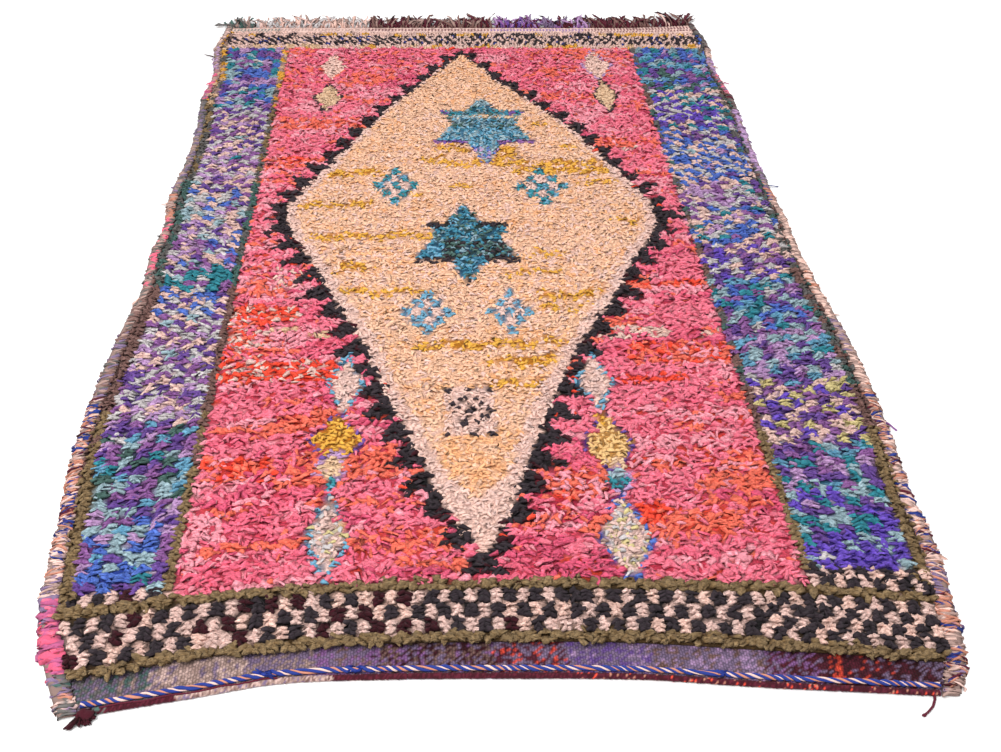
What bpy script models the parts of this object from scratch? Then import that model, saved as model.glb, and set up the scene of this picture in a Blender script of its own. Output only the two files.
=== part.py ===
"""Boucherouite rug lying flat: a rag pile on a woven ground, with wrapped edges, a cut fringe at the
far end and a twined, hemmed near end.

The plan uses x to the right and a distance d that grows from the far heading line towards the near end.
"""

import math

import bmesh
import bpy
import numpy as np

# Driving sizes, in metres
MIDDLE = 1.108  # distance d of the origin, halfway between the longest fringe lock and the loose thread
WEAVE_THICK = 0.003
GAP = 0.0003  # between neighbouring pieces
PILE_EDGE_GAP = 0.0018  # between the pile and a wrapped edge, whose chords differ slightly
WRAP_HIGH = 0.0082
HEM_HIGH = 0.0075
HEM_WIDE = 0.011
CORD_RADIUS = 0.0045
CORD_CLEAR = 0.0010  # from the hem's roll, whose chords differ from the cord's
CORD_TURN = 0.100  # length of cord in which one ply goes once round
CORD_PLIES = 3
CORD_STEPS = 8  # rings in a turn
CORD_GROOVE = 0.72  # share of the radius in the grooves between the plies
PILE_LOW = 0.0135  # height of the slab's rim
PILE_HIGH = 0.0175
PILE_LUMP = 0.0018
ROW_LUMP = 0.0010
WALL_SPLIT = 0.0094  # the rim's locks start above this height, clear of the wrapped edges
LOCK_OUT = 0.011
LOCK_DROOP = -0.003  # along the near end, where the locks hang over the flat weave
FRINGE_STRIP = 0.006
STRIP_CLEAR = 0.0009  # from the heading's edge, whose chords differ from the strip's
FRINGE_HIGH = 0.008

GROUND_COLUMNS = 24
GROUND_ROWS = 44
PILE_COLUMNS = 34
PILE_ROWS = 50
FRINGE_LOCKS = 72

# How far each side edge lies from the centre line, and how wide the wrapping is there
#   distance d, left edge, right edge, wrap width
EDGE_ROWS = (
    (-0.060, 0.746, 0.742, 0.018),
    (0.000, 0.746, 0.750, 0.019),
    (0.130, 0.760, 0.760, 0.020),
    (0.220, 0.748, 0.749, 0.020),
    (0.300, 0.739, 0.748, 0.020),
    (0.440, 0.749, 0.761, 0.020),
    (0.600, 0.737, 0.755, 0.021),
    (0.800, 0.738, 0.750, 0.021),
    (0.960, 0.749, 0.751, 0.022),
    (1.060, 0.739, 0.755, 0.022),
    (1.160, 0.749, 0.751, 0.023),
    (1.300, 0.743, 0.757, 0.024),
    (1.450, 0.759, 0.768, 0.026),
    (1.580, 0.768, 0.774, 0.028),
    (1.700, 0.771, 0.769, 0.027),
    (1.800, 0.769, 0.764, 0.026),
    (1.920, 0.755, 0.753, 0.026),
    (2.060, 0.746, 0.753, 0.030),
    (2.150, 0.731, 0.739, 0.033),
    (2.220, 0.703, 0.729, 0.034),
    (2.290, 0.668, 0.704, 0.030),
    (2.330, 0.645, 0.676, 0.026),
)

# Distances d of the lines that run across the rug
#   x, heading's edge, pile's far edge, pile's near edge, hem's edge
END_ROWS = (
    (-0.780, -0.022, 0.012, 2.237, 2.292),
    (-0.660, -0.028, 0.012, 2.226, 2.293),
    (-0.500, -0.030, 0.012, 2.201, 2.273),
    (-0.350, -0.030, 0.014, 2.186, 2.251),
    (-0.200, -0.031, 0.014, 2.190, 2.250),
    (0.000, -0.031, 0.014, 2.196, 2.257),
    (0.200, -0.031, 0.012, 2.209, 2.268),
    (0.400, -0.032, 0.008, 2.232, 2.292),
    (0.550, -0.035, 0.004, 2.247, 2.307),
    (0.660, -0.045, -0.002, 2.262, 2.317),
    (0.780, -0.058, -0.008, 2.272, 2.319),
)
HEADING, PILE_FAR, PILE_NEAR, HEM = 1, 2, 3, 4

# The hem's rolled section, from its outer edge inwards
#   share of the hem's width, share of its height
HEM_ROWS = (
    (0.00, 0.55),
    (0.16, 0.88),
    (0.42, 1.00),
    (0.72, 0.84),
)

# The wrapped edge's section, from its inner foot round the outside
#   share of the wrap's width, share of its height
WRAP_ROWS = (
    (0.00, 0.00),
    (0.86, 0.00),
    (1.00, 0.30),
    (0.90, 0.78),
    (0.50, 1.00),
    (0.00, 0.80),
)
WRAP_OUTER_FACE = 2  # between the third and fourth points above, where loose ends come out

# Loose ends of rag and yarn on the wrapped edges
#   side, distance d, length, how far it slants towards the near end
LOOSE_ENDS = (
    (-1, 0.190, 0.034, -0.022),
    (-1, 0.965, 0.012, 0.006),
    (-1, 1.330, 0.014, 0.008),
    (1, 0.250, 0.012, 0.004),
    (1, 0.360, 0.016, -0.004),
    (1, 0.905, 0.024, 0.003),
    (1, 1.420, 0.010, 0.000),
    (1, 1.745, 0.022, 0.014),
    (1, 2.060, 0.010, 0.010),
)

# The medallion's four corners, where the pile is finer and lower
MEDALLION_TOP = (-0.010, 0.120)
MEDALLION_LEFT = (-0.475, 0.990)
MEDALLION_RIGHT = (0.465, 1.000)
MEDALLION_FOOT = (-0.030, 2.050)
MEDALLION_DROP = 0.0025

# The cut fringe along the far end
#   x, length of a lock, how far its tip leans to the right
FRINGE_ROWS = (
    (-0.750, 0.050, -0.040),
    (-0.700, 0.058, -0.026),
    (-0.655, 0.040, -0.006),
    (-0.560, 0.054, 0.000),
    (-0.330, 0.052, 0.002),
    (-0.200, 0.066, 0.004),
    (0.050, 0.064, 0.000),
    (0.250, 0.066, 0.000),
    (0.450, 0.060, 0.002),
    (0.620, 0.062, 0.004),
    (0.690, 0.074, 0.006),
    (0.740, 0.078, 0.004),
)
FRINGE_BARE = (-0.655, -0.305, 0.092, 0.245, 0.335, 0.632)  # x of the gaps with no lock

KNOT_AT = (-0.622, 2.3004)
KNOT_RADIUS = 0.0115
THREAD_RADIUS = 0.0015
# The loose thread at the near right corner: x, distance d
THREAD_ROWS = ((0.646, 2.3166), (0.644, 2.325), (0.637, 2.336), (0.626, 2.345), (0.616, 2.351))

RANDOM = np.random.default_rng(7)


def through(rows, column, at):
    """A column's value at a station, on a smooth curve through the table's rows."""
    table = np.array(rows)
    station, value = table[:, 0], table[:, column]
    slope = np.gradient(value, station)
    at = np.clip(at, station[0], station[-1])
    k = np.clip(np.searchsorted(station, at) - 1, 0, len(station) - 2)
    step = station[k + 1] - station[k]
    t = (at - station[k]) / step
    start = (1 + 2 * t) * (1 - t) ** 2 * value[k] + t * (1 - t) ** 2 * step * slope[k]
    end = t * t * (3 - 2 * t) * value[k + 1] + t * t * (t - 1) * step * slope[k + 1]
    return float(start + end)


def edge_at(side, d, inset=0.0):
    """x of the left (-1) or right (1) edge, or of the line that lies inside its wrapping."""
    column = 1 if side < 0 else 2
    return side * (through(EDGE_ROWS, column, d) - inset * wrap_at(d))


def wrap_at(d):
    return through(EDGE_ROWS, 3, d)


def line_at(column, x):
    return through(END_ROWS, column, x)


def foot_at(side, d):
    """x of the line where the ground ends and the wrapping begins."""
    return edge_at(side, d, 1.0)


def crossing(share, line, gap=GAP, foot=foot_at):
    """(x, d) at a share of the width between the wrapped edges, on the line that gives d from x."""
    x = 0.0
    for _ in range(6):
        d = line(x)
        left = foot(-1, d) + gap
        right = foot(1, d) - gap
        x = left + share * (right - left)
    return x, d


def ground_line(row):
    """The line of one of the ground's rows, counted from the hem, as d from x."""
    if row < len(HEM_ROWS):
        return lambda x: line_at(HEM, x) - HEM_ROWS[row][0] * HEM_WIDE
    far = (row - len(HEM_ROWS)) / (GROUND_ROWS - len(HEM_ROWS))
    return lambda x: (1 - far) * (line_at(HEM, x) - HEM_WIDE) + far * line_at(HEADING, x)


def feet_of(side):
    """The wrapping's inner foot at each of the ground's rows, as (x, d) from the hem to the heading."""
    share = 0.0 if side < 0 else 1.0
    return [crossing(share, ground_line(row), 0.0) for row in range(GROUND_ROWS + 1)]


def foot_on_chords(side, d):
    """x of the wrapping's inner foot on the straight stretches between the ground's rows."""
    x, station = np.array(FEET[side])[::-1].T
    return float(np.interp(d, station, x))


def place(x, d, z):
    return (x, MIDDLE - d, z)


def material_of(name, colour, roughness):
    material = bpy.data.materials.new(name)
    material.use_nodes = True
    shader = material.node_tree.nodes["Principled BSDF"]
    shader.inputs["Base Color"].default_value = (*colour, 1.0)
    shader.inputs["Roughness"].default_value = roughness
    shader.inputs["Metallic"].default_value = 0.0
    return material


def finish(mesh_data, name, collection, material):
    """Turns a bmesh into an object of the collection, its faces out and shaded smooth."""
    bmesh.ops.recalc_face_normals(mesh_data, faces=mesh_data.faces)
    mesh = bpy.data.meshes.new(name)
    mesh_data.to_mesh(mesh)
    mesh_data.free()
    mesh.shade_smooth()
    mesh.materials.append(material)
    node = bpy.data.objects.new(name, mesh)
    collection.objects.link(node)
    return node


def drawn_down(mesh_data, height):
    """Extrudes the open rim straight down to a height, and gives the new wall's faces."""
    rim = [edge for edge in mesh_data.edges if edge.is_boundary]
    made = bmesh.ops.extrude_edge_only(mesh_data, edges=rim)["geom"]
    for part in made:
        if isinstance(part, bmesh.types.BMVert):
            part.co.z = height
    return [part for part in made if isinstance(part, bmesh.types.BMFace)]


def close_foot(mesh_data):
    """Closes the open rim with one flat face."""
    rim = [edge for edge in mesh_data.edges if edge.is_boundary]
    bmesh.ops.edgeloop_fill(mesh_data, edges=rim)


def lock(mesh_data, face, steps):
    """Draws a face out into a lock: for each (move, size) step it is extruded, moved and shrunk."""
    for move, size in steps:
        face = bmesh.ops.extrude_discrete_faces(mesh_data, faces=[face])["faces"][0]
        middle = face.calc_center_median()
        for vert in face.verts:
            vert.co = middle + (vert.co - middle) * size
            vert.co.x += move[0]
            vert.co.y += move[1]
            vert.co.z = max(vert.co.z + move[2], 0.0)


def loft(rings):
    """A closed bmesh through rings of equally many points, with flat caps, and its side faces by ring."""
    mesh_data = bmesh.new()
    verts = [[mesh_data.verts.new(point) for point in ring] for ring in rings]
    count = len(rings[0])
    sides = []
    for before, after in zip(verts, verts[1:]):
        faces = []
        for k in range(count):
            step = (k + 1) % count
            faces.append(mesh_data.faces.new((before[k], before[step], after[step], after[k])))
        sides.append(faces)
    mesh_data.faces.new(verts[0])
    mesh_data.faces.new(verts[-1])
    return mesh_data, sides


def sheet_grid(columns, rows):
    """A flat grid whose points carry their column and row numbers in x and y."""
    mesh_data = bmesh.new()
    bmesh.ops.create_grid(mesh_data, x_segments=columns, y_segments=rows, size=0.5)
    for vert in mesh_data.verts:
        vert.co.x = round((vert.co.x + 0.5) * columns)
        vert.co.y = round((vert.co.y + 0.5) * rows)
    return mesh_data


def ground_weave(collection):
    """The woven ground with its flatwoven ends, and its rolled hem along the near end."""
    mesh_data = sheet_grid(GROUND_COLUMNS, GROUND_ROWS)
    for vert in mesh_data.verts:
        row = int(vert.co.y)
        x, d = crossing(vert.co.x / GROUND_COLUMNS, ground_line(row))
        z = HEM_ROWS[row][1] * HEM_HIGH if row < len(HEM_ROWS) else WEAVE_THICK
        vert.co = place(x, d, z)
    drawn_down(mesh_data, 0.0)
    close_foot(mesh_data)
    weave = material_of("ground_weave", (0.62, 0.48, 0.45), 0.9)
    return finish(mesh_data, "ground_weave", collection, weave)


def in_medallion(x, d):
    if d < MEDALLION_TOP[1] or d > MEDALLION_FOOT[1]:
        return False
    sides = []
    for corner in (MEDALLION_LEFT, MEDALLION_RIGHT):
        spans = (MEDALLION_TOP[1], corner[1], MEDALLION_FOOT[1])
        sides.append(np.interp(d, spans, (MEDALLION_TOP[0], corner[0], MEDALLION_FOOT[0])))
    return sides[0] < x < sides[1]


def pile_height(x, d, row):
    """The slab's lumpy top: knot rows stand a little over and under each other."""
    height = PILE_HIGH + RANDOM.uniform(-PILE_LUMP, PILE_LUMP)
    height += ROW_LUMP if row % 2 else -ROW_LUMP
    if in_medallion(x, d):
        height -= MEDALLION_DROP
    return height


def pile(collection):
    """The rag pile: one lumpy slab on the ground, with locks round its rim."""
    mesh_data = sheet_grid(PILE_COLUMNS, PILE_ROWS)
    for vert in mesh_data.verts:
        column, row = int(vert.co.x), int(vert.co.y)
        along = row / PILE_ROWS
        x, d = crossing(
            column / PILE_COLUMNS,
            lambda at: (1 - along) * line_at(PILE_NEAR, at) + along * line_at(PILE_FAR, at),
            PILE_EDGE_GAP,
            foot_on_chords,
        )
        on_rim = column in (0, PILE_COLUMNS) or row in (0, PILE_ROWS)
        vert.co = place(x, d, PILE_LOW if on_rim else pile_height(x, d, row))
    wall = drawn_down(mesh_data, WALL_SPLIT)
    drawn_down(mesh_data, WEAVE_THICK + GAP)
    close_foot(mesh_data)
    bmesh.ops.recalc_face_normals(mesh_data, faces=mesh_data.faces)
    near_y = MIDDLE - line_at(PILE_NEAR, 0.0)
    far_y = MIDDLE - line_at(PILE_FAR, 0.0)
    wall.sort(key=lambda face: math.atan2(*face.calc_center_median().xy))
    for face in wall[::2]:
        out = face.normal
        middle = face.calc_center_median()
        reach = LOCK_OUT * RANDOM.uniform(0.7, 1.15)
        if out.y > 0.5 and middle.y > far_y - LOCK_OUT:
            reach *= 0.5
        droop = LOCK_DROOP if out.y < -0.5 and middle.y < near_y + 0.08 else 0.0
        slant = RANDOM.uniform(-0.003, 0.003)
        bend = (out.x * reach * 0.55, out.y * reach * 0.55 + slant * 0.3, droop * 0.3)
        tip = (out.x * reach * 0.45, out.y * reach * 0.45 + slant * 0.7, droop * 0.7)
        lock(mesh_data, face, ((bend, 0.74), (tip, 0.45)))
    rag = material_of("pile", (0.70, 0.16, 0.26), 0.95)
    return finish(mesh_data, "pile", collection, rag)


def selvedge(side, name, collection):
    """One wrapped side edge: a low rounded bar, thicker and thinner with its wrapping, and loose ends."""
    feet = FEET[side]
    between = [((a[0] + b[0]) / 2, (a[1] + b[1]) / 2) for a, b in zip(feet, feet[1:])]
    feet = sorted(feet + between[len(HEM_ROWS):], key=lambda foot: foot[1])
    rings = []
    for k, (foot, d) in enumerate(feet):
        wide = wrap_at(d) + RANDOM.uniform(-0.0012, 0.0012)
        high = WRAP_HIGH + RANDOM.uniform(-0.0007, 0.0002) - (0.0008 if k % 2 else 0.0)
        rings.append([place(foot + side * w * wide, d, h * high) for w, h in WRAP_ROWS])
    mesh_data, sides = loft(rings)
    bmesh.ops.recalc_face_normals(mesh_data, faces=mesh_data.faces)
    for end_side, d, length, slant in LOOSE_ENDS:
        if end_side == side:
            k = min(range(len(sides)), key=lambda ring: abs(feet[ring][1] - d))
            root = (side * length * 0.4, -slant * 0.3, -0.001)
            tip = (side * length * 0.6, -slant * 0.7, -0.002)
            lock(mesh_data, sides[k][WRAP_OUTER_FACE], ((root, 0.5), (tip, 0.7)))
    wrap = material_of(name, (0.55, 0.40, 0.42), 0.9)
    return finish(mesh_data, name, collection, wrap)


def twined_cord(collection):
    """The three-ply cord sewn along the near end, its twist raised as ridges and grooves."""
    inset = HEM_WIDE + CORD_CLEAR + CORD_RADIUS

    def line(at):
        return line_at(HEM, at) - inset

    ends = [crossing(share, line)[0] for share in (0.004, 0.996)]
    steps = round((ends[1] - ends[0]) / CORD_TURN * CORD_STEPS)
    height = WEAVE_THICK + GAP + CORD_RADIUS
    rings = []
    for k in range(steps + 1):
        x = ends[0] + (ends[1] - ends[0]) * k / steps
        slope = (line(x + 0.001) - line(x - 0.001)) / 0.002
        turn = 2 * math.pi * k / CORD_STEPS
        ring = []
        for corner in range(2 * CORD_PLIES):
            angle = turn + corner * math.pi / CORD_PLIES
            radius = CORD_RADIUS * (CORD_GROOVE if corner % 2 else 1.0)
            aside = radius * math.cos(angle)
            up = radius * math.sin(angle)
            ring.append(place(x - slope * aside, line(x) - aside, height + up))
        rings.append(ring)
    mesh_data, _ = loft(rings)
    yarn = material_of("twined_cord", (0.18, 0.22, 0.55), 0.85)
    return finish(mesh_data, "twined_cord", collection, yarn)


def far_fringe(collection):
    """The cut warp ends: locks lying level on the floor, their roots fused into a narrow strip."""
    first, last = [crossing(share, lambda at: line_at(HEADING, at))[0] for share in (0.002, 0.998)]
    pitch = (last - first) / FRINGE_LOCKS
    stations = []
    for k in range(FRINGE_LOCKS):
        wide = pitch * RANDOM.uniform(0.66, 0.84)
        stations += [first + pitch * k, first + pitch * k + wide]
    rings = []
    for x in stations:
        d = line_at(HEADING, x) - STRIP_CLEAR
        section = ((0.0, 0.0), (FRINGE_STRIP, 0.0), (FRINGE_STRIP, FRINGE_HIGH), (0.0, WEAVE_THICK + 0.001))
        rings.append([place(x, d - away, z) for away, z in section])
    mesh_data, sides = loft(rings)
    bmesh.ops.recalc_face_normals(mesh_data, faces=mesh_data.faces)
    for k in range(FRINGE_LOCKS):
        x = stations[2 * k]
        if min(abs(x - bare) for bare in FRINGE_BARE) < pitch * 0.5:
            continue
        length = through(FRINGE_ROWS, 1, x) * RANDOM.uniform(0.82, 1.0) - FRINGE_STRIP
        lean = through(FRINGE_ROWS, 2, x) + RANDOM.uniform(-0.002, 0.002)
        fringe_lock(mesh_data, sides[2 * k][1], length, lean)
    warp = material_of("far_fringe", (0.28, 0.14, 0.17), 0.9)
    return finish(mesh_data, "far_fringe", collection, warp)


def fringe_lock(mesh_data, face, length, lean):
    """One lock with its underside on the floor, thinning towards its tip."""
    #   share of the length added, share of the lean added, width kept, height there
    for along, aside, kept, high in ((0.45, 0.35, 0.92, 0.0088), (0.55, 0.65, 0.50, 0.0045)):
        face = bmesh.ops.extrude_discrete_faces(mesh_data, faces=[face])["faces"][0]
        middle = face.calc_center_median()
        for vert in face.verts:
            vert.co.x = middle.x + (vert.co.x - middle.x) * kept + lean * aside
            vert.co.y += length * along
            if vert.co.z > 0.001:
                vert.co.z = high


def corner_tassel(collection):
    """The knot at the near left corner, with its short tail and cut ends."""
    mesh_data = bmesh.new()
    bmesh.ops.create_icosphere(mesh_data, subdivisions=2, radius=KNOT_RADIUS)
    for vert in mesh_data.verts:
        vert.co.z = max(vert.co.z * 0.85 + 0.0085, 0.0)
        vert.co.x += KNOT_AT[0]
        vert.co.y += MIDDLE - KNOT_AT[1]
    mesh_data.normal_update()
    #   direction of each end in plan, its length
    ends = ((-142, 0.024), (-158, 0.019), (-120, 0.010), (-95, 0.007), (-60, 0.008), (-15, 0.009))
    for turn, length in ends:
        way = (math.cos(math.radians(turn)), math.sin(math.radians(turn)))
        face = max(
            (face for face in mesh_data.faces if len(face.verts) == 3),
            key=lambda one: one.normal.x * way[0] + one.normal.y * way[1] - abs(one.normal.z),
        )
        root = (way[0] * length * 0.4, way[1] * length * 0.4, -0.002)
        tip = (way[0] * length * 0.6, way[1] * length * 0.6, -0.003)
        lock(mesh_data, face, ((root, 0.95), (tip, 0.80)))
    yarn = material_of("corner_tassel", (0.20, 0.03, 0.08), 0.9)
    return finish(mesh_data, "corner_tassel", collection, yarn)


def corner_thread(collection):
    """The loose thread that lies on the floor by the near right corner."""
    route = bpy.data.curves.new("corner_thread", "CURVE")
    route.dimensions = "3D"
    route.bevel_depth = THREAD_RADIUS
    route.bevel_resolution = 0
    route.use_fill_caps = True
    spline = route.splines.new("POLY")
    spline.points.add(len(THREAD_ROWS) - 1)
    for point, (x, d) in zip(spline.points, THREAD_ROWS):
        point.co = (*place(x, d, THREAD_RADIUS), 1.0)
    route.materials.append(material_of("corner_thread", (0.20, 0.04, 0.12), 0.9))
    node = bpy.data.objects.new("corner_thread", route)
    collection.objects.link(node)
    return node


FEET = {side: feet_of(side) for side in (-1, 1)}


def main():
    for old in list(bpy.data.objects):
        bpy.data.objects.remove(old, do_unlink=True)
    collection = bpy.data.collections.new("boucherouite_rug")
    bpy.context.scene.collection.children.link(collection)
    ground_weave(collection)
    pile(collection)
    selvedge(-1, "left_selvedge", collection)
    selvedge(1, "right_selvedge", collection)
    twined_cord(collection)
    far_fringe(collection)
    corner_tassel(collection)
    corner_thread(collection)


main()
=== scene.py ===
import math

import bpy
import numpy as np
from mathutils import Matrix, Vector


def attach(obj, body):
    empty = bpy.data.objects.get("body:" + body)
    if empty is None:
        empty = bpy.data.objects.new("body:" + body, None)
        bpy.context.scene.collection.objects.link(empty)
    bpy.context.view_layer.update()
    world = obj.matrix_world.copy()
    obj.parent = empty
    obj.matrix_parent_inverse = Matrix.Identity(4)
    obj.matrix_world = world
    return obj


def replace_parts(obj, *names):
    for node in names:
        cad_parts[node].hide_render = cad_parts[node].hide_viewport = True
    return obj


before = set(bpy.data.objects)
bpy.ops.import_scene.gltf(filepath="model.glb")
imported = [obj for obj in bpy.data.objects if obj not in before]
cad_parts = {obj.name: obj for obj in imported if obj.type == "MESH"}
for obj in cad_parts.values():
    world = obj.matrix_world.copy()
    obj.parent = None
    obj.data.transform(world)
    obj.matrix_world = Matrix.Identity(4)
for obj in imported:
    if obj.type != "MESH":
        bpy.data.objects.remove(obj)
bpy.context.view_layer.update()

bl_info = {
    "name": "Boucherouite Rug",
    "version": (1, 0, 0),
    "blender": (4, 5, 0),
    "location": "View3D > Sidebar > Rug",
    "description": "Knots, wraps and fringes a flat rag-pile rug over its CAD frame",
    "category": "Add Mesh",
}

# Plan of the rug, in metres: x to the right, d from the far heading line towards the near end
MIDDLE = 1.108  # distance d of the origin
WEAVE_THICK = 0.003
ABOVE_FLOOR = 0.0003
WRAP_HIGH = 0.0082
STITCHED_FROM = 1.64  # distance d from which stitches cross the wraps
HEM_WIDE, HEM_INSET, HEM_LIFT, HEM_RADIUS = 0.011, 0.0056, 0.0037, 0.0046
CORD_RADIUS = 0.0045
CORD_CLEAR = 0.0010
CORE_RADIUS = 0.0036
PILE_WIDE, PILE_LONG = 1.45, 2.17  # sizes that the numbers of knots are counted from

#   distance d, left edge, right edge, wrap width
EDGE_ROWS = (
    (-0.060, 0.746, 0.742, 0.018), (0.000, 0.746, 0.750, 0.019), (0.130, 0.760, 0.760, 0.020),
    (0.220, 0.748, 0.749, 0.020), (0.300, 0.739, 0.748, 0.020), (0.440, 0.749, 0.761, 0.020),
    (0.600, 0.737, 0.755, 0.021), (0.800, 0.738, 0.750, 0.021), (0.960, 0.749, 0.751, 0.022),
    (1.060, 0.739, 0.755, 0.022), (1.160, 0.749, 0.751, 0.023), (1.300, 0.743, 0.757, 0.024),
    (1.450, 0.759, 0.768, 0.026), (1.580, 0.768, 0.774, 0.028), (1.700, 0.771, 0.769, 0.027),
    (1.800, 0.769, 0.764, 0.026), (1.920, 0.755, 0.753, 0.026), (2.060, 0.746, 0.753, 0.030),
    (2.150, 0.731, 0.739, 0.033), (2.220, 0.703, 0.729, 0.034), (2.290, 0.668, 0.704, 0.030),
    (2.330, 0.645, 0.676, 0.026),
)
#   x, heading's edge, pile's far edge, pile's near edge, hem's edge
END_ROWS = (
    (-0.780, -0.022, 0.012, 2.247, 2.300), (-0.660, -0.028, 0.012, 2.238, 2.302),
    (-0.500, -0.030, 0.012, 2.211, 2.282), (-0.350, -0.030, 0.014, 2.195, 2.260),
    (-0.200, -0.031, 0.014, 2.197, 2.259), (0.000, -0.031, 0.014, 2.201, 2.265),
    (0.200, -0.031, 0.012, 2.211, 2.275), (0.400, -0.032, 0.008, 2.232, 2.297),
    (0.550, -0.035, 0.004, 2.247, 2.311), (0.660, -0.045, -0.002, 2.262, 2.321),
    (0.780, -0.058, -0.008, 2.272, 2.323),
)
HEADING, PILE_FAR, PILE_NEAR, HEM = 1, 2, 3, 4
#   share of the wrap's width, share of its height, over the wrapped edge from its inner foot
WRAP_ROWS = ((0.00, 0.30), (0.04, 0.84), (0.32, 1.02), (0.70, 0.95), (1.00, 0.48), (0.92, 0.04))
#   side, distance d, length, how far it slants towards the near end, dye
LOOSE_ENDS = (
    (-1, 0.190, 0.034, -0.022, "maroon"), (-1, 0.965, 0.012, 0.006, "blush"),
    (-1, 1.330, 0.014, 0.008, "blush"), (1, 0.250, 0.012, 0.004, "blush"),
    (1, 0.360, 0.016, -0.004, "hotpink"), (1, 0.905, 0.024, 0.003, "navy"),
    (1, 1.420, 0.010, 0.000, "blush"), (1, 1.745, 0.022, 0.014, "plum"), (1, 2.060, 0.010, 0.010, "blush"),
)
#   x, length of a fringe strand, how far its tip leans to the right
FRINGE_ROWS = (
    (-0.750, 0.050, -0.040), (-0.700, 0.058, -0.026), (-0.655, 0.040, -0.006), (-0.560, 0.054, 0.000),
    (-0.330, 0.052, 0.002), (-0.200, 0.066, 0.004), (0.050, 0.064, 0.000), (0.250, 0.066, 0.000),
    (0.450, 0.060, 0.002), (0.620, 0.062, 0.004), (0.690, 0.074, 0.006), (0.740, 0.078, 0.004),
)
BUNCH_WIDE = 0.0205  # width of a bunch of the cut fringe
#   x of the bare places between bunches
FRINGE_BARE = (-0.655, -0.305, 0.092, 0.245, 0.335, 0.632)
#   x and d of the corner knot
KNOT_AT = (-0.622, 2.3004)
#   direction in degrees and length of the tassel's ends, the tail first
TASSEL_ENDS = (
    (-142, 0.034), (-150, 0.032), (-136, 0.030), (-158, 0.026), (-120, 0.018), (-95, 0.015), (-60, 0.016),
    (-15, 0.017), (20, 0.015), (160, 0.016), (60, 0.014), (-170, 0.018), (-30, 0.014), (-80, 0.013),
)
#   x and d along the loose corner thread
THREAD_ROWS = ((0.646, 2.3166), (0.644, 2.325), (0.637, 2.336), (0.626, 2.345), (0.616, 2.351))

# The photographed view: place of the camera, its turns in degrees and its focal length in pixels
CAMERA_AT = (-0.09525, -1.94599, 1.38339)
PITCH, YAW, ROLL = 43.27132, 4.68050, 2.12765
FOCAL, PICTURE_WIDE = 1001.0, 1001.0
# Heights at which yarn, rags, thick olive rags and the low rags of the far band are seen
YARN_SEEN, RAG_SEEN, OLIVE_SEEN, LOW_SEEN = 0.013, 0.0145, 0.014, 0.010
FOOT_ROW = 0.0155  # distance between the rows of dye on the bed of knots and on the ground

# The pattern, read on the floor plane along that view
#   distance d, left edge and right edge of the medallion
KITE_ROWS = (
    (0.150, -0.018, -0.012), (0.20, -0.048, 0.018), (0.25, -0.083, 0.049), (0.32, -0.126, 0.088),
    (0.42, -0.190, 0.157), (0.57, -0.270, 0.256), (0.78, -0.372, 0.356),
    (0.90, -0.432, 0.408), (1.00, -0.462, 0.440), (1.08, -0.442, 0.426), (1.20, -0.385, 0.358),
    (1.35, -0.318, 0.285), (1.50, -0.248, 0.197), (1.65, -0.200, 0.128), (1.80, -0.138, 0.072),
    (1.92, -0.092, 0.030), (2.035, -0.028, -0.024),
)
KITE_FROM, KITE_WIDEST, KITE_TO = 0.150, 1.03, 2.03
TEETH_FROM, TEETH_TO, TOOTH_PITCH = 0.128, 2.068, 0.0616
#   distances d, widths of the pale line inside the medallion's edge
PALE_EDGE = (0.25, 0.60, 0.80, 1.30, 1.84, 1.90, 1.96), (0.006, 0.014, 0.024, 0.030, 0.034, 0.052, 0.2)
#   x, far olive row, near olive row
OLIVE_ROWS = (
    (-0.740, 2.128, 2.240), (-0.650, 2.116, 2.231), (-0.500, 2.100, 2.207), (-0.300, 2.088, 2.190),
    (-0.100, 2.087, 2.188), (0.100, 2.091, 2.193), (0.300, 2.103, 2.205), (0.500, 2.119, 2.229),
    (0.600, 2.130, 2.243), (0.740, 2.148, 2.257),
)
INNER = {-1: -0.538, 1: 0.508}  # x of each side border's inner line
HALFWAY = 1.02  # where the medallion's two halves meet
BORDER_FAR = 0.112  # where the side borders and the field begin
COLUMN_WIDE = 0.017  # the plain columns along both sides of a border
CLUMP_WIDE, CLUMP_LONG = 0.0270, 0.0195  # clumps of the side borders
CHECK_WIDE = 0.0214  # clumps of the near checks
FAR_BAND, FAR_LONG, DASH_WIDE = 0.010, 0.0204, 0.0250  # start, row and dash of the far checks
FIELD, FINE, OTHER = range(3)  # parts of the pile: rag field, fine yarn, all the rest
#   x from and to, d from and to, of the yellow runs in the medallion
YELLOW_RUNS = (
    (-0.09, 0.12, 0.690, 0.722), (-0.10, 0.33, 0.765, 0.790), (0.10, 0.37, 0.797, 0.832),
    (-0.38, -0.24, 0.805, 0.838), (0.27, 0.37, 0.865, 0.880), (-0.06, 0.00, 0.870, 0.890),
    (-0.44, -0.25, 0.958, 0.980), (0.33, 0.40, 1.035, 1.055), (-0.40, -0.09, 1.085, 1.112),
    (0.12, 0.19, 1.165, 1.185), (-0.32, -0.25, 1.205, 1.232), (0.06, 0.18, 1.235, 1.255),
    (-0.32, -0.13, 1.300, 1.322), (0.12, 0.25, 1.318, 1.345), (0.14, 0.23, 1.362, 1.380),
    (-0.16, 0.17, 1.478, 1.502), (0.00, 0.15, 1.532, 1.558), (0.00, 0.12, 1.600, 1.620),
    (0.17, 0.21, 0.565, 0.585), (0.24, 0.28, 0.690, 0.705), (-0.23, -0.12, 0.915, 0.930),
    (0.05, 0.12, 0.700, 0.760), (-0.14, -0.08, 0.745, 0.765),
)
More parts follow.
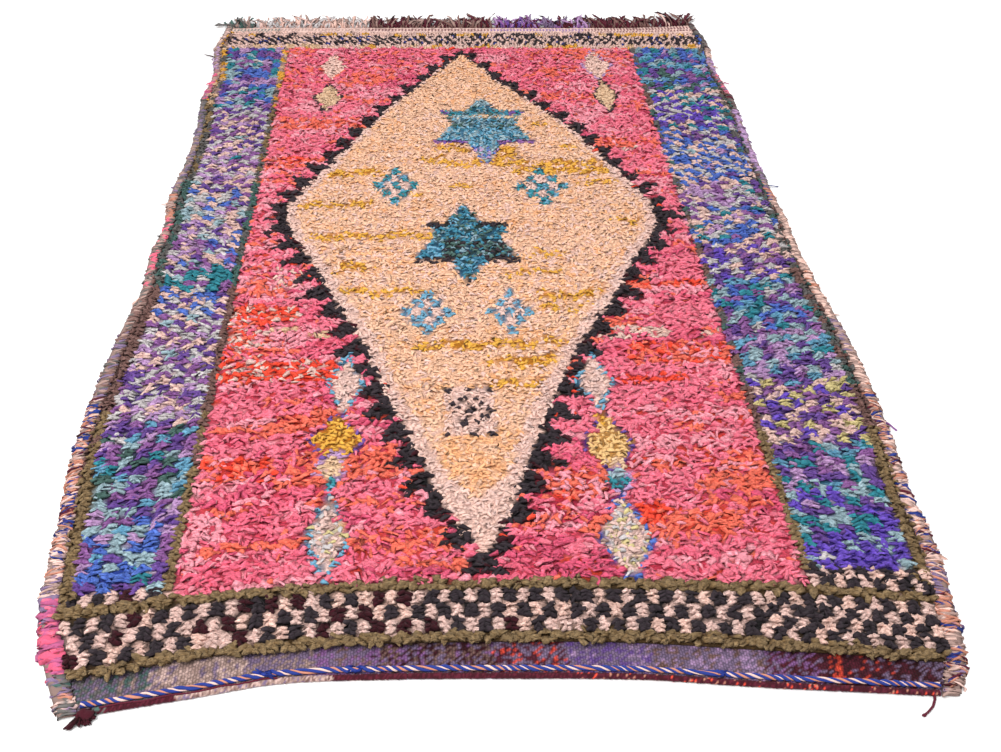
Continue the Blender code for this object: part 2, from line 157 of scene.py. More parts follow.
#   centre x and d, half width and half length of the slim lozenges, inside dye, outline dye
TOTEMS = (
    (-0.395, 0.235, 0.040, 0.088, "blush", "blush"), (-0.400, 0.425, 0.037, 0.078, "sand", "charcoal"),
    (0.390, 0.225, 0.043, 0.095, "blush", "lilac"), (0.395, 0.415, 0.032, 0.095, "sand", "charcoal"),
    (-0.285, 1.603, 0.031, 0.084, "bone", "sky"), (-0.293, 1.755, 0.049, 0.070, "mustard", "purple"),
    (-0.297, 1.823, 0.026, 0.036, "sand", "lilac"), (-0.297, 1.860, 0.019, 0.016, "teal", "teal"),
    (-0.295, 1.980, 0.035, 0.088, "pearl", "sky"), (0.215, 1.608, 0.032, 0.080, "bone", "sky"),
    (0.220, 1.778, 0.047, 0.080, "honey", "purple"), (0.214, 1.710, 0.018, 0.026, "mustard", "mustard"),
    (0.226, 1.830, 0.024, 0.020, "sand", "sand"), (0.226, 1.872, 0.022, 0.026, "teal", "lilac"),
    (0.226, 1.855, 0.024, 0.014, "mist", "mist"), (0.220, 2.000, 0.044, 0.092, "pearl", "blue"),
)
PALE_CORES = {"bone": "bone bone bone blush", "pearl": "pearl bone string bone lemon"}
#   centre x and d, half width and half length of the checked lozenges in the medallion
LATTICES = (
    (-0.200, 0.883, 0.043, 0.066), (0.170, 0.891, 0.053, 0.066), (-0.122, 1.385, 0.044, 0.059),
    (0.057, 1.383, 0.041, 0.060),
)
#   tip x, tip d, base d, base from and to for both triangles; x from and to, d from and to, dyes
STARS = (
    (
        ((0.035, 0.425, 0.680, -0.108, 0.178), (0.035, 0.795, 0.500, -0.086, 0.156)),
        (
            (-1, 1, 0, 0.478, "mist steel mist petrol"), (-1, 1, 0.478, 0.535, "petrol green teal steel"),
            (-1, 1, 0.530, 0.545, "mist sand"), (-1, 1, 0.545, 0.60, "steel petrol slate steel green"),
            (-1, 1, 0.60, 0.70, "steel slate petrol sky mist"), (-1, 1, 0.70, 1, "steel blue lilac mist"),
            (-1, -0.02, 0.662, 0.69, "purple plum"), (0.07, 1, 0.662, 0.69, "purple plum"),
            (-1, -0.062, 0.49, 0.53, "purple teal"), (0.11, 1, 0.49, 0.53, "purple teal"),
        ),
    ),
    (
        ((-0.033, 0.968, 1.205, -0.156, 0.104), (-0.030, 1.300, 1.048, -0.124, 0.078)),
        (
            (-1, 1, 0, 1.065, "petrol slate petrol green"),
            (-1, 1, 1.065, 1.11, "petrol green petrol steel"),
            (-1, 1, 1.11, 1.185, "green steel green petrol charcoal"),
            (-1, 1, 1.185, 1.272, "petrol slate petrol green"), (-1, -0.085, 1.12, 1.19, "slate petrol"),
            (-1, -0.06, 1.048, 1.064, "charcoal"), (0.0, 1, 1.048, 1.064, "charcoal"),
            (-1, -0.06, 1.188, 1.21, "charcoal"), (0.01, 1, 1.188, 1.21, "charcoal"),
            (-1, 1, 1.275, 1.31, "charcoal"),
        ),
    ),
)
#   centre of the stepped check at the medallion's foot, width and length of its squares
CHECK_MARK, MARK_WIDE, MARK_LONG = (-0.040, 1.685), 0.0135, 0.0150
#   side, d from, share of pale clumps, dyes of the others
BORDER_ROWS = (
    (-1, 0.00, 0.10, "teal plum blue purple lilac mist"), (-1, 0.48, 0.48, "purple plum lilac purple"),
    (-1, 0.70, 0.44, "plum lilac purple lilac"), (-1, 0.85, 0.42, "lilac purple mist plum blue"),
    (-1, 1.20, 0.20, "teal purple plum teal"), (-1, 1.29, 0.42, "blue purple blue"),
    (-1, 1.38, 0.48, "purple plum lilac purple plum"),
    (-1, 1.70, 0.06, "teal purple sky plum green plum mist"),
    (-1, 1.90, 0.10, "blue plum purple mist blue sky lilac"), (-1, 2.03, 0.12, "purple blue mist"),
    (1, 0.00, 0.04, "blue sky teal blue steel purple"),
    (1, 0.20, 0.08, "teal sky purple green mist blue plum"),
    (1, 0.38, 0.36, "violet violet purple teal"), (1, 0.60, 0.40, "blue purple purple blue"),
    (1, 0.68, 0.42, "blue blue"), (1, 0.88, 0.38, "plum purple lilac"),
    (1, 0.99, 0.40, "blue blue plum teal"), (1, 1.15, 0.34, "violet plum purple"),
    (1, 1.275, 0.08, "teal blue mist plum purple sky"), (1, 1.46, 0.10, "purple plum mist sky lilac"),
    (1, 1.62, 0.42, "purple plum violet plum/lemon bone lemon bone"),
    (1, 1.79, 0.06, "sky plum purple teal lilac"), (1, 1.90, 0.08, "teal violet purple mist"),
    (1, 2.03, 0.10, "violet violet mist"),
)
#   side, d from, dye of the edge columns beside the border
COLUMN_ROWS = (
    (-1, 0.00, "string sand string mustard grey"), (-1, 0.48, "grey olive"), (-1, 0.86, "green grey"),
    (-1, 1.27, "brown"), (-1, 1.66, "olive brown"), (-1, 1.82, "olive"), (1, 0.00, "grey blue"),
    (1, 0.28, "grey green brown grey"), (1, 1.64, "brown"), (1, 1.76, "olive"),
)
FIELD_DYES = "pink light pink rose pink deep pink light pink coral light rose coral pink"
#   x from and to, d from and to, chance, dyes of special runs in the field
FIELD_RUNS = (
    (-0.54, -0.40, 1.350, 1.412, 0.85, "red bone red coral"),
    (-0.54, -0.30, 1.530, 1.588, 0.90, "red bone red"),
    (-0.54, -0.45, 1.420, 1.525, 0.60, "coral red bone"),
    (-0.54, -0.46, 1.190, 1.300, 0.60, "coral light"),
    (-0.46, -0.40, 1.220, 1.300, 0.75, "light blush"), (0.33, 0.51, 1.282, 1.302, 0.90, "red coral"),
    (0.24, 0.40, 1.440, 1.478, 0.80, "blush bone"), (0.46, 0.51, 1.455, 1.475, 0.80, "blush bone"),
    (0.30, 0.51, 1.490, 1.560, 0.70, "coral red coral"), (0.16, 0.40, 1.592, 1.612, 0.90, "red"),
    (0.40, 0.44, 0.700, 0.722, 0.85, "bone"), (0.24, 0.30, 1.928, 1.968, 0.85, "red"),
    (0.11, 0.14, 1.885, 1.935, 0.60, "red coral"), (-0.53, -0.40, 1.795, 1.850, 0.70, "coral red"),
    (-0.32, -0.05, 1.965, 2.020, 0.65, "coral"), (-0.28, -0.16, 1.800, 1.860, 0.60, "coral"),
    (-0.33, -0.05, 1.890, 1.915, 0.50, "coral"), (0.22, 0.40, 1.060, 1.070, 0.50, "coral"),
    (0.42, 0.50, 1.800, 1.850, 0.60, "coral"), (0.05, 0.20, 1.835, 1.900, 0.45, "coral"),
    (-0.54, -0.30, 0.540, 0.600, 0.60, "coral"), (-0.50, -0.42, 0.740, 0.800, 0.60, "red coral"),
    (0.33, 0.50, 0.655, 0.700, 0.60, "coral"), (0.20, 0.42, 0.400, 0.440, 0.50, "coral"),
    (-0.37, -0.32, 1.440, 1.460, 0.70, "sand"), (-0.45, -0.40, 1.430, 1.445, 0.6, "sand"),
    (-0.02, 0.02, 0.085, 0.115, 0.70, "red"), (-0.06, -0.03, 0.085, 0.125, 0.80, "red"),
    (0.00, 0.06, 0.110, 0.140, 0.70, "deep"),
)
#   x from, dyes of the flatwoven strip at the near end
STRIP_ROWS = (
    (-0.80, "grey thistle grey green"), (-0.635, "grey green thistle grey string"),
    (-0.540, "string bone string thistle bone"), (-0.40, "string thistle string"),
    (-0.30, "thistle plum thistle brown"), (-0.20, "plum brown wine thistle plum"),
    (-0.02, "thistle maroon thistle red"), (0.09, "lilac thistle purple thistle"),
    (0.22, "thistle brown thistle lilac thistle"), (0.40, "maroon thistle maroon plum wine"),
    (0.49, "thistle maroon wine red"), (0.60, "wine thistle wine maroon"),
)
#   x from, dyes of the cut fringe
FRINGE_DYES = (
    (-0.80, "green grey string"), (-0.655, "bone string pearl pearl blush"),
    (-0.305, "brown maroon brown string maroon"), (0.092, "plum thistle plum purple lilac maroon"),
    (0.245, "thistle plum maroon thistle"), (0.335, "thistle plum maroon lilac"),
    (0.40, "maroon brown maroon brown"), (0.632, "bone maroon maroon"),
    (0.665, "wine maroon brown maroon"),
)
#   side, d from, dyes of the wraps round the side edges
WRAP_DYES = (
    (-1, -0.10, "grey bone string"), (-1, 0.12, "string lilac thistle string"),
    (-1, 0.28, "rose hotpink string"), (-1, 0.44, "grey thistle grey"),
    (-1, 0.62, "thistle string grey"), (-1, 0.93, "rust string rust"), (-1, 1.03, "string grey rose"),
    (-1, 1.28, "brown grey string brown"), (-1, 1.45, "grey thistle brown string"),
    (-1, 1.65, "blush navy string rust"), (-1, 1.76, "navy bone rust string bone"),
    (-1, 1.95, "string thistle blush bone"), (-1, 2.10, "hotpink rose hotpink thistle"),
    (-1, 2.17, "hotpink rose hotpink deep"), (-1, 2.238, "thistle green thistle grey"),
    (-1, 2.262, "thistle grey rust bone"), (1, -0.10, "grey wine grey"), (1, 0.13, "blush string"),
    (1, 0.18, "lilac thistle string"), (1, 0.30, "rose thistle grey"), (1, 0.42, "grey maroon grey"),
    (1, 0.52, "lilac thistle lilac"), (1, 0.84, "thistle grey string"), (1, 0.90, "string rust navy"),
    (1, 0.98, "string blush string"), (1, 1.27, "blush rust string"), (1, 1.34, "blush string"),
    (1, 1.44, "thistle string"), (1, 1.52, "string blush string"), (1, 1.66, "rust navy blush string"),
    (1, 1.80, "navy bone string rust"), (1, 1.92, "blush string bone"),
    (1, 1.96, "navy blush rust string"), (1, 2.09, "thistle navy thistle"),
    (1, 2.14, "blush navy string string rust"), (1, 2.28, "thistle wine string"),
)


def linear(code):
    """The linear colour of a #RRGGBB code."""
    parts = [int(code[k : k + 2], 16) / 255 for k in (1, 3, 5)]
    return tuple(p / 12.92 if p <= 0.04045 else ((p + 0.055) / 1.055) ** 2.4 for p in parts)


def dye(name, description, code):
    return bpy.props.FloatVectorProperty(
        name=name, description=description, default=linear(code), min=0.0, max=1.0, size=3, subtype="COLOR"
    )


def length(name, description, default):
    return bpy.props.FloatProperty(
        name=name, description=description, default=default, min=0.0, max=0.2,
        unit="LENGTH", subtype="DISTANCE",
    )


class RugSizes(bpy.types.PropertyGroup):
    rag_row: length("Rag row", "Distance between the rows of rag ends", 0.0082)
    rag_pitch: length("Rag pitch", "Distance between rag ends in a row", 0.0105)
    rag_long: length("Rag length", "Length of a rag end in the field", 0.0225)
    rag_wide: length("Rag width", "Width of a rag end in the field", 0.0092)
    yarn_row: length("Yarn row", "Distance between the rows of fine yarn ends in the medallion", 0.0100)
    yarn_pitch: length("Yarn pitch", "Distance between fine yarn ends in a row", 0.0082)
    yarn_long: length("Yarn length", "Length of a fine yarn end in the medallion", 0.0154)
    yarn_wide: length("Yarn width", "Width of a fine yarn end in the medallion", 0.0080)
    pile_top: length("Pile height", "Height of the rag ends above the floor", 0.0165)
    wrap_pitch: length("Wrap pitch", "Distance between the wraps round the side edges", 0.0040)
    fringe_pitch: length("Fringe pitch", "Distance between the strands of the cut fringe", 0.0027)


class RugDyes(bpy.types.PropertyGroup):
    pink: dye("Pink", "Main rag of the field", "#FA8298")
    rose: dye("Rose", "Second rag of the field", "#F4728C")
    light: dye("Light pink", "Pale rag of the field", "#FCA4B2")
    deep: dye("Deep pink", "Dark rag of the field", "#E26080")
    coral: dye("Coral", "Orange-pink rag of the field", "#FC7C66")
    red: dye("Red", "Bright red rag", "#FC563E")
    peach: dye("Peach", "Fill of the medallion", "#F6C6A6")
    apricot: dye("Apricot", "Second fill of the medallion", "#FABC8C")
    blush: dye("Blush", "Pale pinkish outline of the medallion", "#F2CABC")
    sand: dye("Sand", "Yellowish cream", "#E8C3A0")
    lemon: dye("Lemon", "Pale yellow of the right border", "#D8C890")
    bone: dye("Bone", "Pale cream of the checks", "#EAC6BC")
    honey: dye("Honey", "Pale yellow of the right lozenge", "#EEC284")
    mustard: dye("Mustard", "Yellow runs in the medallion", "#EAB04A")
    charcoal: dye("Charcoal", "Dark sawtooth and checks", "#3C3238")
    brown: dye("Brown", "Brown edge columns", "#85645E")
    olive: dye("Olive", "Thick rows at the near end", "#937B5A")
    green: dye("Green", "Dark green yarn", "#52706A")
    grey: dye("Grey", "Grey-green yarn", "#6E6A68")
    teal: dye("Teal", "Teal of stars and borders", "#3A8E9C")
    petrol: dye("Petrol", "Blue-green of both stars", "#4286A0")
    steel: dye("Steel", "Greyed blue of both stars", "#88A4B0")
    slate: dye("Slate", "Slate blue of the upper star", "#78AECA")
    sky: dye("Sky", "Light blue outlines", "#72A8C4")
    mist: dye("Mist", "Pale grey-blue", "#A4BCC4")
    pearl: dye("Pearl", "Whitish grey of the borders", "#CFC8C8")
    blue: dye("Blue", "Blue of the borders", "#5C7ACB")
    purple: dye("Purple", "Purple of the borders", "#76549F")
    violet: dye("Violet", "Bright violet of the borders", "#7658C4")
    plum: dye("Plum", "Reddish purple", "#9A68A4")
    lilac: dye("Lilac", "Pale purple", "#C29CC8")
    maroon: dye("Maroon", "Maroon yarn of hem and fringe", "#5E2030")
    wine: dye("Wine", "Darkest maroon", "#42141F")
    string: dye("String", "Beige yarn", "#B4958C")
    thistle: dye("Thistle", "Grey-purple yarn", "#8A7494")
    hotpink: dye("Hot pink", "Wrap at the near left corner", "#C0608C")
    navy: dye("Navy", "Blue yarn of cord and wraps", "#2C3C88")
    rust: dye("Rust", "Coral ply of the cord", "#CC8A74")


# The plan


def through(rows, column, at):
    """A column's values at stations, on a smooth curve through the table's rows."""
    table = np.array(rows)
    station, value = table[:, 0], table[:, column]
    slope = np.gradient(value, station)
    at = np.clip(at, station[0], station[-1])
    k = np.clip(np.searchsorted(station, at) - 1, 0, len(station) - 2)
    step = station[k + 1] - station[k]
    t = (at - station[k]) / step
    start = (1 + 2 * t) * (1 - t) ** 2 * value[k] + t * (1 - t) ** 2 * step * slope[k]
    return start + t * t * (3 - 2 * t) * value[k + 1] + t * t * (t - 1) * step * slope[k + 1]


def wrap_wide(d):
    """Width of the wrapping round the side edges."""
    return through(EDGE_ROWS, 3, d)


def foot_at(side, d):
    """x of the line where the ground ends and the wrapping begins."""
    return side * (through(EDGE_ROWS, 1 if side < 0 else 2, d) - wrap_wide(d))


def end_line(column, inset=0.0):
    """A line across the rug that gives d from x, moved by an inset towards the near end."""
    return lambda at: through(END_ROWS, column, at) + inset


def crossing(share, line, gap=0.0003):
    """(x, d) at shares of the width between the wrapped edges, on the line that gives d from x."""
    x = np.zeros_like(np.asarray(share, float))
    for _ in range(6):
        d = line(x)
        left, right = foot_at(-1, d) + gap, foot_at(1, d) - gap
        x = left + share * (right - left)
    return x, d


def edge_ends(side):
    """Distances d of the far and the near end of a wrapped side edge."""
    share = 0.0 if side < 0 else 1.0
    return [float(crossing(share, end_line(column))[1]) for column in (HEADING, HEM)]


def on_pattern(x, d, z):
    """Where a point at height z lies on the pattern tables, which were read along the photographed view."""
    grow = CAMERA_AT[2] / (CAMERA_AT[2] - z)
    y = CAMERA_AT[1] + (MIDDLE - d - CAMERA_AT[1]) * grow
    return CAMERA_AT[0] + (x - CAMERA_AT[0]) * grow, MIDDLE - y


def from_pattern(x, d, z):
    """The place at height z that shows at a pattern place."""
    grow = (CAMERA_AT[2] - z) / CAMERA_AT[2]
    y = CAMERA_AT[1] + (MIDDLE - d - CAMERA_AT[1]) * grow
    return CAMERA_AT[0] + (x - CAMERA_AT[0]) * grow, MIDDLE - y


def of_side(rows, side):
    return [row for row in rows if row[0] == side]


def band_of(rows, side, d):
    """Index of the last row of a side's table that starts before each d."""
    starts = np.array([row[1] for row in of_side(rows, side)])
    return np.clip(np.searchsorted(starts, d, side="right") - 1, 0, len(starts) - 1)


# The dyes


class Dyeing:
    """Picks the dye of each knot from its place in the pattern."""

    def __init__(self, dyes, seed):
        self.dyes = {key: np.array(getattr(dyes, key)) for key in RugDyes.__annotations__}
        self.random = np.random.default_rng(seed)
        self.cells = self.random.random((4, 256, 256))

    def of(self, names, chance):
        """One dye of the list for each chance from 0 to 1."""
        table = np.array([self.dyes[name] for name in names.split()])
        return table[np.minimum((chance * len(table)).astype(int), len(table) - 1)]

    def cell(self, layer, i, j):
        return self.cells[layer, i.astype(int) % 256, j.astype(int) % 256]

    def put(self, colour, mask, names, chance=None):
        if mask.any():
            chance = self.random.random(len(mask)) if chance is None else chance
            colour[mask] = self.of(names, chance[mask])

    def field(self, x, d, row):
        """Runs of one rag along each row, speckled more towards the far end."""
        width = 0.045 + 0.19 * self.cell(1, row, row * 0)
        run = np.floor((x + 0.37 * self.cell(0, row, row * 0)) / width)
        chance = self.cell(2, row, run)
        level = np.floor((row + 2 * self.cell(0, run, run * 0)) / 3)
        block = self.cell(3, level, np.floor(x / 0.13 + 0.1 * row))
        chance = np.where(block < 0.45, block / 0.45, chance)
        stray = self.random.random(len(x)) < np.interp(d, (0.2, 0.9, 1.6), (0.40, 0.18, 0.08))
        chance = np.where(stray, self.random.random(len(x)), chance)
        colour = self.of(FIELD_DYES, chance)
        for x0, x1, d0, d1, sure, names in FIELD_RUNS:
            inside = (x > x0) & (x < x1) & (d > d0) & (d < d1) & (self.random.random(len(x)) < sure)
            self.put(colour, inside, names)
        return colour

    def totems(self, x, d):
        """The slim lozenges beside the medallion: their dyes, and where they lie."""
        colour = np.zeros((len(x), 3))
        inside = np.zeros(len(x), bool)
        for cx, cd, a, b, inner, outer in TOTEMS:
            off = (np.abs(x - cx) / a + np.abs(d - cd) / b - 1.0) * a * b / math.hypot(a, b)
            core = off < 0.0
            rim = (off >= 0.0) & (off < 0.008) & (self.random.random(len(x)) < 0.85) & (inner != outer)
            self.put(colour, rim, outer)
            self.put(colour, core, PALE_CORES.get(inner, inner))
            inside |= core | rim
        return colour, inside

    def border_cells(self, x, d, side):
        """Which clump of a side border each place falls in: its column from the inner line, and its row."""
        row = np.floor((d - BORDER_FAR) / CLUMP_LONG)
        shift = 0.30 * self.cell(2, row, row * 0 + side)
        out = side * (x - INNER[side]) - COLUMN_WIDE
        return np.floor(out / CLUMP_WIDE + shift), row, shift

    def border(self, x, d, side):
        """Clumps of one dye each, pale ones between dark ones."""
        i, row, _ = self.border_cells(x, d, side)
        rows = of_side(BORDER_ROWS, side)
        band = band_of(BORDER_ROWS, side, d + 0.012 * (self.cell(3, i, row) - 0.5))
        colour = np.zeros((len(x), 3))
        pick, pale = self.cell(0, i, row), self.cell(1, i, row)
        for k, (_, _, share, names) in enumerate(rows):
            here = band == k
            names, _, pales = names.partition("/")
            pales = pales or ("bone bone pearl pearl" if share > 0.2 else "mist lilac pearl")
            self.put(colour, here, names, pick)
            even = (i + row) % 2 == 0
            light = np.where(even, pale < share * 2.1, pale < share * 0.12)
            self.put(colour, here & light, pales, pick)
        stray = self.random.random(len(x)) < 0.05
        self.put(colour, stray, "purple mist lilac plum teal")
        broken = (side > 0) & (d > 0.22) & (d < 1.60) & (pick < 0.40)
        self.columns(colour, x, d, side, (side * (x - INNER[side]) < COLUMN_WIDE) & ~broken)
        outer = side * (foot_at(side, d) - x) < COLUMN_WIDE + 0.004
        mixed = (side > 0) & (d < 1.22) & (self.random.random(len(x)) < 0.6)
        self.columns(colour, x, d, side, outer & ~mixed)
        return colour

    def columns(self, colour, x, d, side, mask):
        band = band_of(COLUMN_ROWS, side, d + self.random.normal(0, 0.01, len(d)))
        for k, row in enumerate(of_side(COLUMN_ROWS, side)):
            self.put(colour, mask & (band == k), row[2])

    def check_cells(self, x, d):
        """Column and row of the check clump at each place, rows counted from the near olive row."""
        low, step, _ = check_rows(x)
        return np.floor(x / CHECK_WIDE), np.floor((low - d) / step)

    def checks(self, x, d):
        """Dark and pale clumps in turn."""
        i, j = self.check_cells(x, d)
        dark = (i + j) % 2 == 0
        dark ^= self.cell(2, i, j) < 0.015
        colour = self.of("bone bone blush", self.cell(1, i, j))
        self.put(colour, dark, 4 * "charcoal " + "wine", self.cell(0, i, j))
        self.put(colour, dark & (x > 0.1), "charcoal")
        return colour

    def far_checks(self, x, d):
        """Slanting dark dashes on pale rags, with yellow flecks along both sides."""
        j = np.floor((d - FAR_BAND) / FAR_LONG)
        left = x < -0.20
        block = self.cell(0, j, np.floor(x / 0.11))
        phase = (x - np.where(left, 0.95, 0.0) * (d - FAR_BAND)) / DASH_WIDE
        phase = phase + np.where(left, 0.15 * block, 0.5 * (j % 2) + 0.30 * block)
        dark = (phase % 1.0 < 0.52) & (self.random.random(len(x)) < 0.97) & (j > 0) & (j < 4)
        colour = self.of("bone blush bone", self.random.random(len(x)))
        self.put(colour, dark, 7 * "charcoal " + "navy")
        i = np.floor(x / DASH_WIDE)
        self.put(colour, (j == 0) & (self.cell(2, i, j) < 0.22), "charcoal")
        self.put(colour, (j == 0) & (self.cell(3, i, j) > 0.70), "mustard sand mustard")
        self.put(colour, j >= 4, "bone sand blush mustard bone", self.cell(0, i, j))
        return colour

    def star(self, colour, x, d, triangles, dress):
        """Two crossed triangles, with a dye list for each part of them."""
        inside = np.zeros(len(x), bool)
        for tip_x, tip_d, base_d, x0, x1 in triangles:
            t = (d - tip_d) / (base_d - tip_d)
            left, right = tip_x + (x0 - tip_x) * t, tip_x + (x1 - tip_x) * t
            inside |= (t > 0) & (t < 1) & (x > left) & (x < right)
        for x0, x1, d0, d1, names in dress:
            self.put(colour, inside & (x > x0) & (x < x1) & (d > d0) & (d < d1), names)

    def medallion(self, x, d, row):
        left, right = through(KITE_ROWS, 1, d), through(KITE_ROWS, 2, d)
        inset = np.minimum(x - left, right - x)
        tone = self.cell(3, row, np.floor(x / 0.19)) * 0.55 + 0.45 * self.random.random(len(x))
        colour = self.of("peach peach peach peach peach apricot apricot", tone)
        blushing = self.random.random(len(x)) < np.interp(d, (0.3, 0.9, 1.3, 1.6), (0.05, 0.22, 0.22, 0.10))
        self.put(colour, blushing, "blush")
        self.put(colour, (np.abs(x + 0.04) < 0.06) & (d > 1.74) & (d < 1.88), "apricot peach apricot")
        wave = 0.006 * np.sin(x * 61) + 0.004 * np.sin(x * 143 + 1)
        for x0, x1, d0, d1 in YELLOW_RUNS:
            ragged = self.random.normal(0, 0.004, len(x))
            at, along = x - 3 * ragged, d + wave + ragged
            hit = (at > x0) & (at < x1) & (along > d0) & (along < d1)
            self.put(colour, hit & (self.random.random(len(x)) < 0.86), "mustard")
        edge = np.interp(d, *PALE_EDGE) * (0.8 + 0.4 * self.cell(0, np.floor(d / 0.03), row * 0))
        self.put(colour, inset < edge, "blush blush bone")
        for cx, cd, a, b in LATTICES:
            i, j = np.round((x - cx) / a * 2), np.round((d - cd) / b * 2)
            near = np.abs(i) + np.abs(j) <= 2
            block = near & ((i + j) % 2 == 0)
            self.put(colour, near & ~block, "blush bone")
            self.put(colour, block, "teal sky teal" if cd < 1.0 else "sky slate sky")
        i, j = np.round((x - CHECK_MARK[0]) / MARK_WIDE), np.round((d - CHECK_MARK[1]) / MARK_LONG)
        patch = (np.abs(i) <= 3) & (np.abs(j) <= 4)
        ring = np.abs(i) * 4 + np.abs(j) * 3
        marks = patch & (np.isin(ring, (10, 11, 12)) | (ring <= 3) | ((np.abs(i) == 3) & (np.abs(j) == 4)))
        self.put(colour, patch, "blush bone blush")
        self.put(colour, marks & (self.random.random(len(x)) < 0.9), "charcoal")
        for triangles, dress in STARS:
            self.star(colour, x, d, triangles, dress)
        return colour

    def teeth(self, x, d):
        """Which points lie in the dark sawtooth outside the medallion."""
        inside = np.zeros(len(x), bool)
        for side, column in ((-1, 1), (1, 2)):
            shift = np.where(d > KITE_WIDEST, 0.80, 0.30) if side > 0 else 0.0
            phase = (d - 0.10) / TOOTH_PITCH + shift
            tooth, part = np.floor(phase), phase % 1.0
            wide = np.where(d < KITE_WIDEST, 0.054 - 0.050 * part, 0.001 + 0.070 * part)
            wide = wide * (0.85 + 0.30 * self.cell(1, tooth, tooth * 0 + side))
            wide = np.maximum(wide, np.where(np.abs(d - 1.02) < 0.07, 0.026, 0.004))
            wide = wide * np.interp(d, (1.90, 2.04), (1.0, 0.6))
            off = side * (x - through(KITE_ROWS, column, d))
            inside |= (off >= -0.003) & (off < wide) & (d > TEETH_FROM) & (d < TEETH_TO)
        return inside

    def whole(self, x, d, row):
        """The dyes at pattern places, and the part of the pile that each place belongs to."""
        left, right = through(KITE_ROWS, 1, d), through(KITE_ROWS, 2, d)
        part = np.full(len(x), FIELD)
        colour = self.field(x, d, row)
        teeth = self.teeth(x, d)
        self.put(colour, teeth, 7 * "charcoal " + "wine")
        self.put(colour, teeth & (self.random.random(len(x)) < 0.025), "coral deep red")
        lozenges, slim = self.totems(x, d)
        colour[slim], part[slim] = lozenges[slim], FINE
        for side in (-1, 1):
            beside = side * (x - INNER[side]) > 0
            part[beside] = OTHER
            if beside.any():
                colour[beside] = self.border(x[beside], d[beside], side)
        fine = (x > left) & (x < right) & (d > KITE_FROM) & (d < KITE_TO)
        part[fine] = FINE
        if fine.any():
            colour[fine] = self.medallion(x[fine], d[fine], row[fine])
        far = d < BORDER_FAR
        part[far] = OTHER
        if far.any():
            colour[far] = self.far_checks(x[far], d[far])
        high, low = through(OLIVE_ROWS, 1, x), through(OLIVE_ROWS, 2, x)
        extra_left = (x < INNER[-1] + 0.01) & (d > high - 0.036)
        extra_right = (x > INNER[1] + 0.012) & (d > high - 0.056)
        both = (d > high) | extra_left | extra_right
        part[both] = OTHER
        if both.any():
            colour[both] = self.checks(x[both], d[both])
        rim = (side_gap(x, d) < 0.018) & (d > high - 0.04) & (d < high)
        olive = (np.abs(d - high) < 0.0105) | (d > low - 0.0125) | rim
        part[olive] = OTHER
        self.put(colour, olive, "olive")
        return colour, part


def check_rows(x):
    """Where the rows of checks begin at the near olive row, their pitch and their number."""
    high, low = through(OLIVE_ROWS, 1, x) + 0.0085, through(OLIVE_ROWS, 2, x) - 0.0105
    count = np.where(x > 0.42, 4, 3)
    return low, (low - high) / count, count


def side_gap(x, d):
    return np.minimum(x - foot_at(-1, d), foot_at(1, d) - x)


# Modelling of locks and meshes


def deselect_all():
    if bpy.context.mode != "OBJECT":
        bpy.ops.object.mode_set(mode="OBJECT")
    bpy.ops.object.select_all(action="DESELECT")


def taken(name):
    """The object that an operator has just added, renamed."""
    piece = bpy.context.active_object
    piece.name = piece.data.name = name
    return piece


def points_of(piece):
    return np.array([v.co for v in piece.data.vertices])


def move_points(piece, points):
    piece.data.vertices.foreach_set("co", points.astype(np.float32).ravel())


def grid_piece(name, columns, rows, near, far, gap=0.0003):
    """A grid between the wrapped edges and two lines: the piece, its shares u and v, and its x and d."""
    deselect_all()
    bpy.ops.mesh.primitive_grid_add(x_subdivisions=columns, y_subdivisions=rows, size=1.0)
    piece = taken(name)
    flat = points_of(piece)
    u, v = flat[:, 0] + 0.5, flat[:, 1] + 0.5
    x, d = crossing(u, lambda at: (1 - v) * near(at) + v * far(at), gap)
    return piece, u, v, x, d


def thickened(piece, thickness, offset):
    thick = piece.modifiers.new("thickness", "SOLIDIFY")
    thick.thickness, thick.offset = thickness, offset
    bpy.ops.object.modifier_apply(modifier="thickness")


def lock_form(section, stations, pointed=False):
    """One upright lock: a section drawn out through (height, size) stations to a tip or a cut end."""
    deselect_all()
    bpy.ops.mesh.primitive_circle_add(vertices=len(section), radius=1.0, fill_type="NGON")
    form = taken("lock_form")
    for vert, (across, thick) in zip(form.data.vertices, section):
        vert.co = (across * stations[0][1], thick * stations[0][1], stations[0][0])
    bpy.ops.object.mode_set(mode="EDIT")
    bpy.ops.mesh.select_all(action="SELECT")
    for (low, before), (high, after) in zip(stations, stations[1:]):
        bpy.ops.mesh.extrude_region_move(TRANSFORM_OT_translate={"value": (0, 0, high - low)})
        ratio = after / before
        bpy.ops.transform.resize(value=(ratio, ratio, 1), center_override=(0, 0, high))
    if pointed:
        bpy.ops.mesh.extrude_region_move(TRANSFORM_OT_translate={"value": (0, 0, 1.0 - stations[-1][0])})
        bpy.ops.mesh.merge(type="CENTER")
    bpy.ops.mesh.select_all(action="SELECT")
    bpy.ops.mesh.normals_make_consistent(inside=False)
    bpy.ops.object.mode_set(mode="OBJECT")
    verts = points_of(form)
    faces = [tuple(f.vertices) for f in form.data.polygons]
    form_uv = lock_map(verts, faces, len(section), len(stations))
    bpy.data.objects.remove(form, do_unlink=True)
    return verts, faces, form_uv


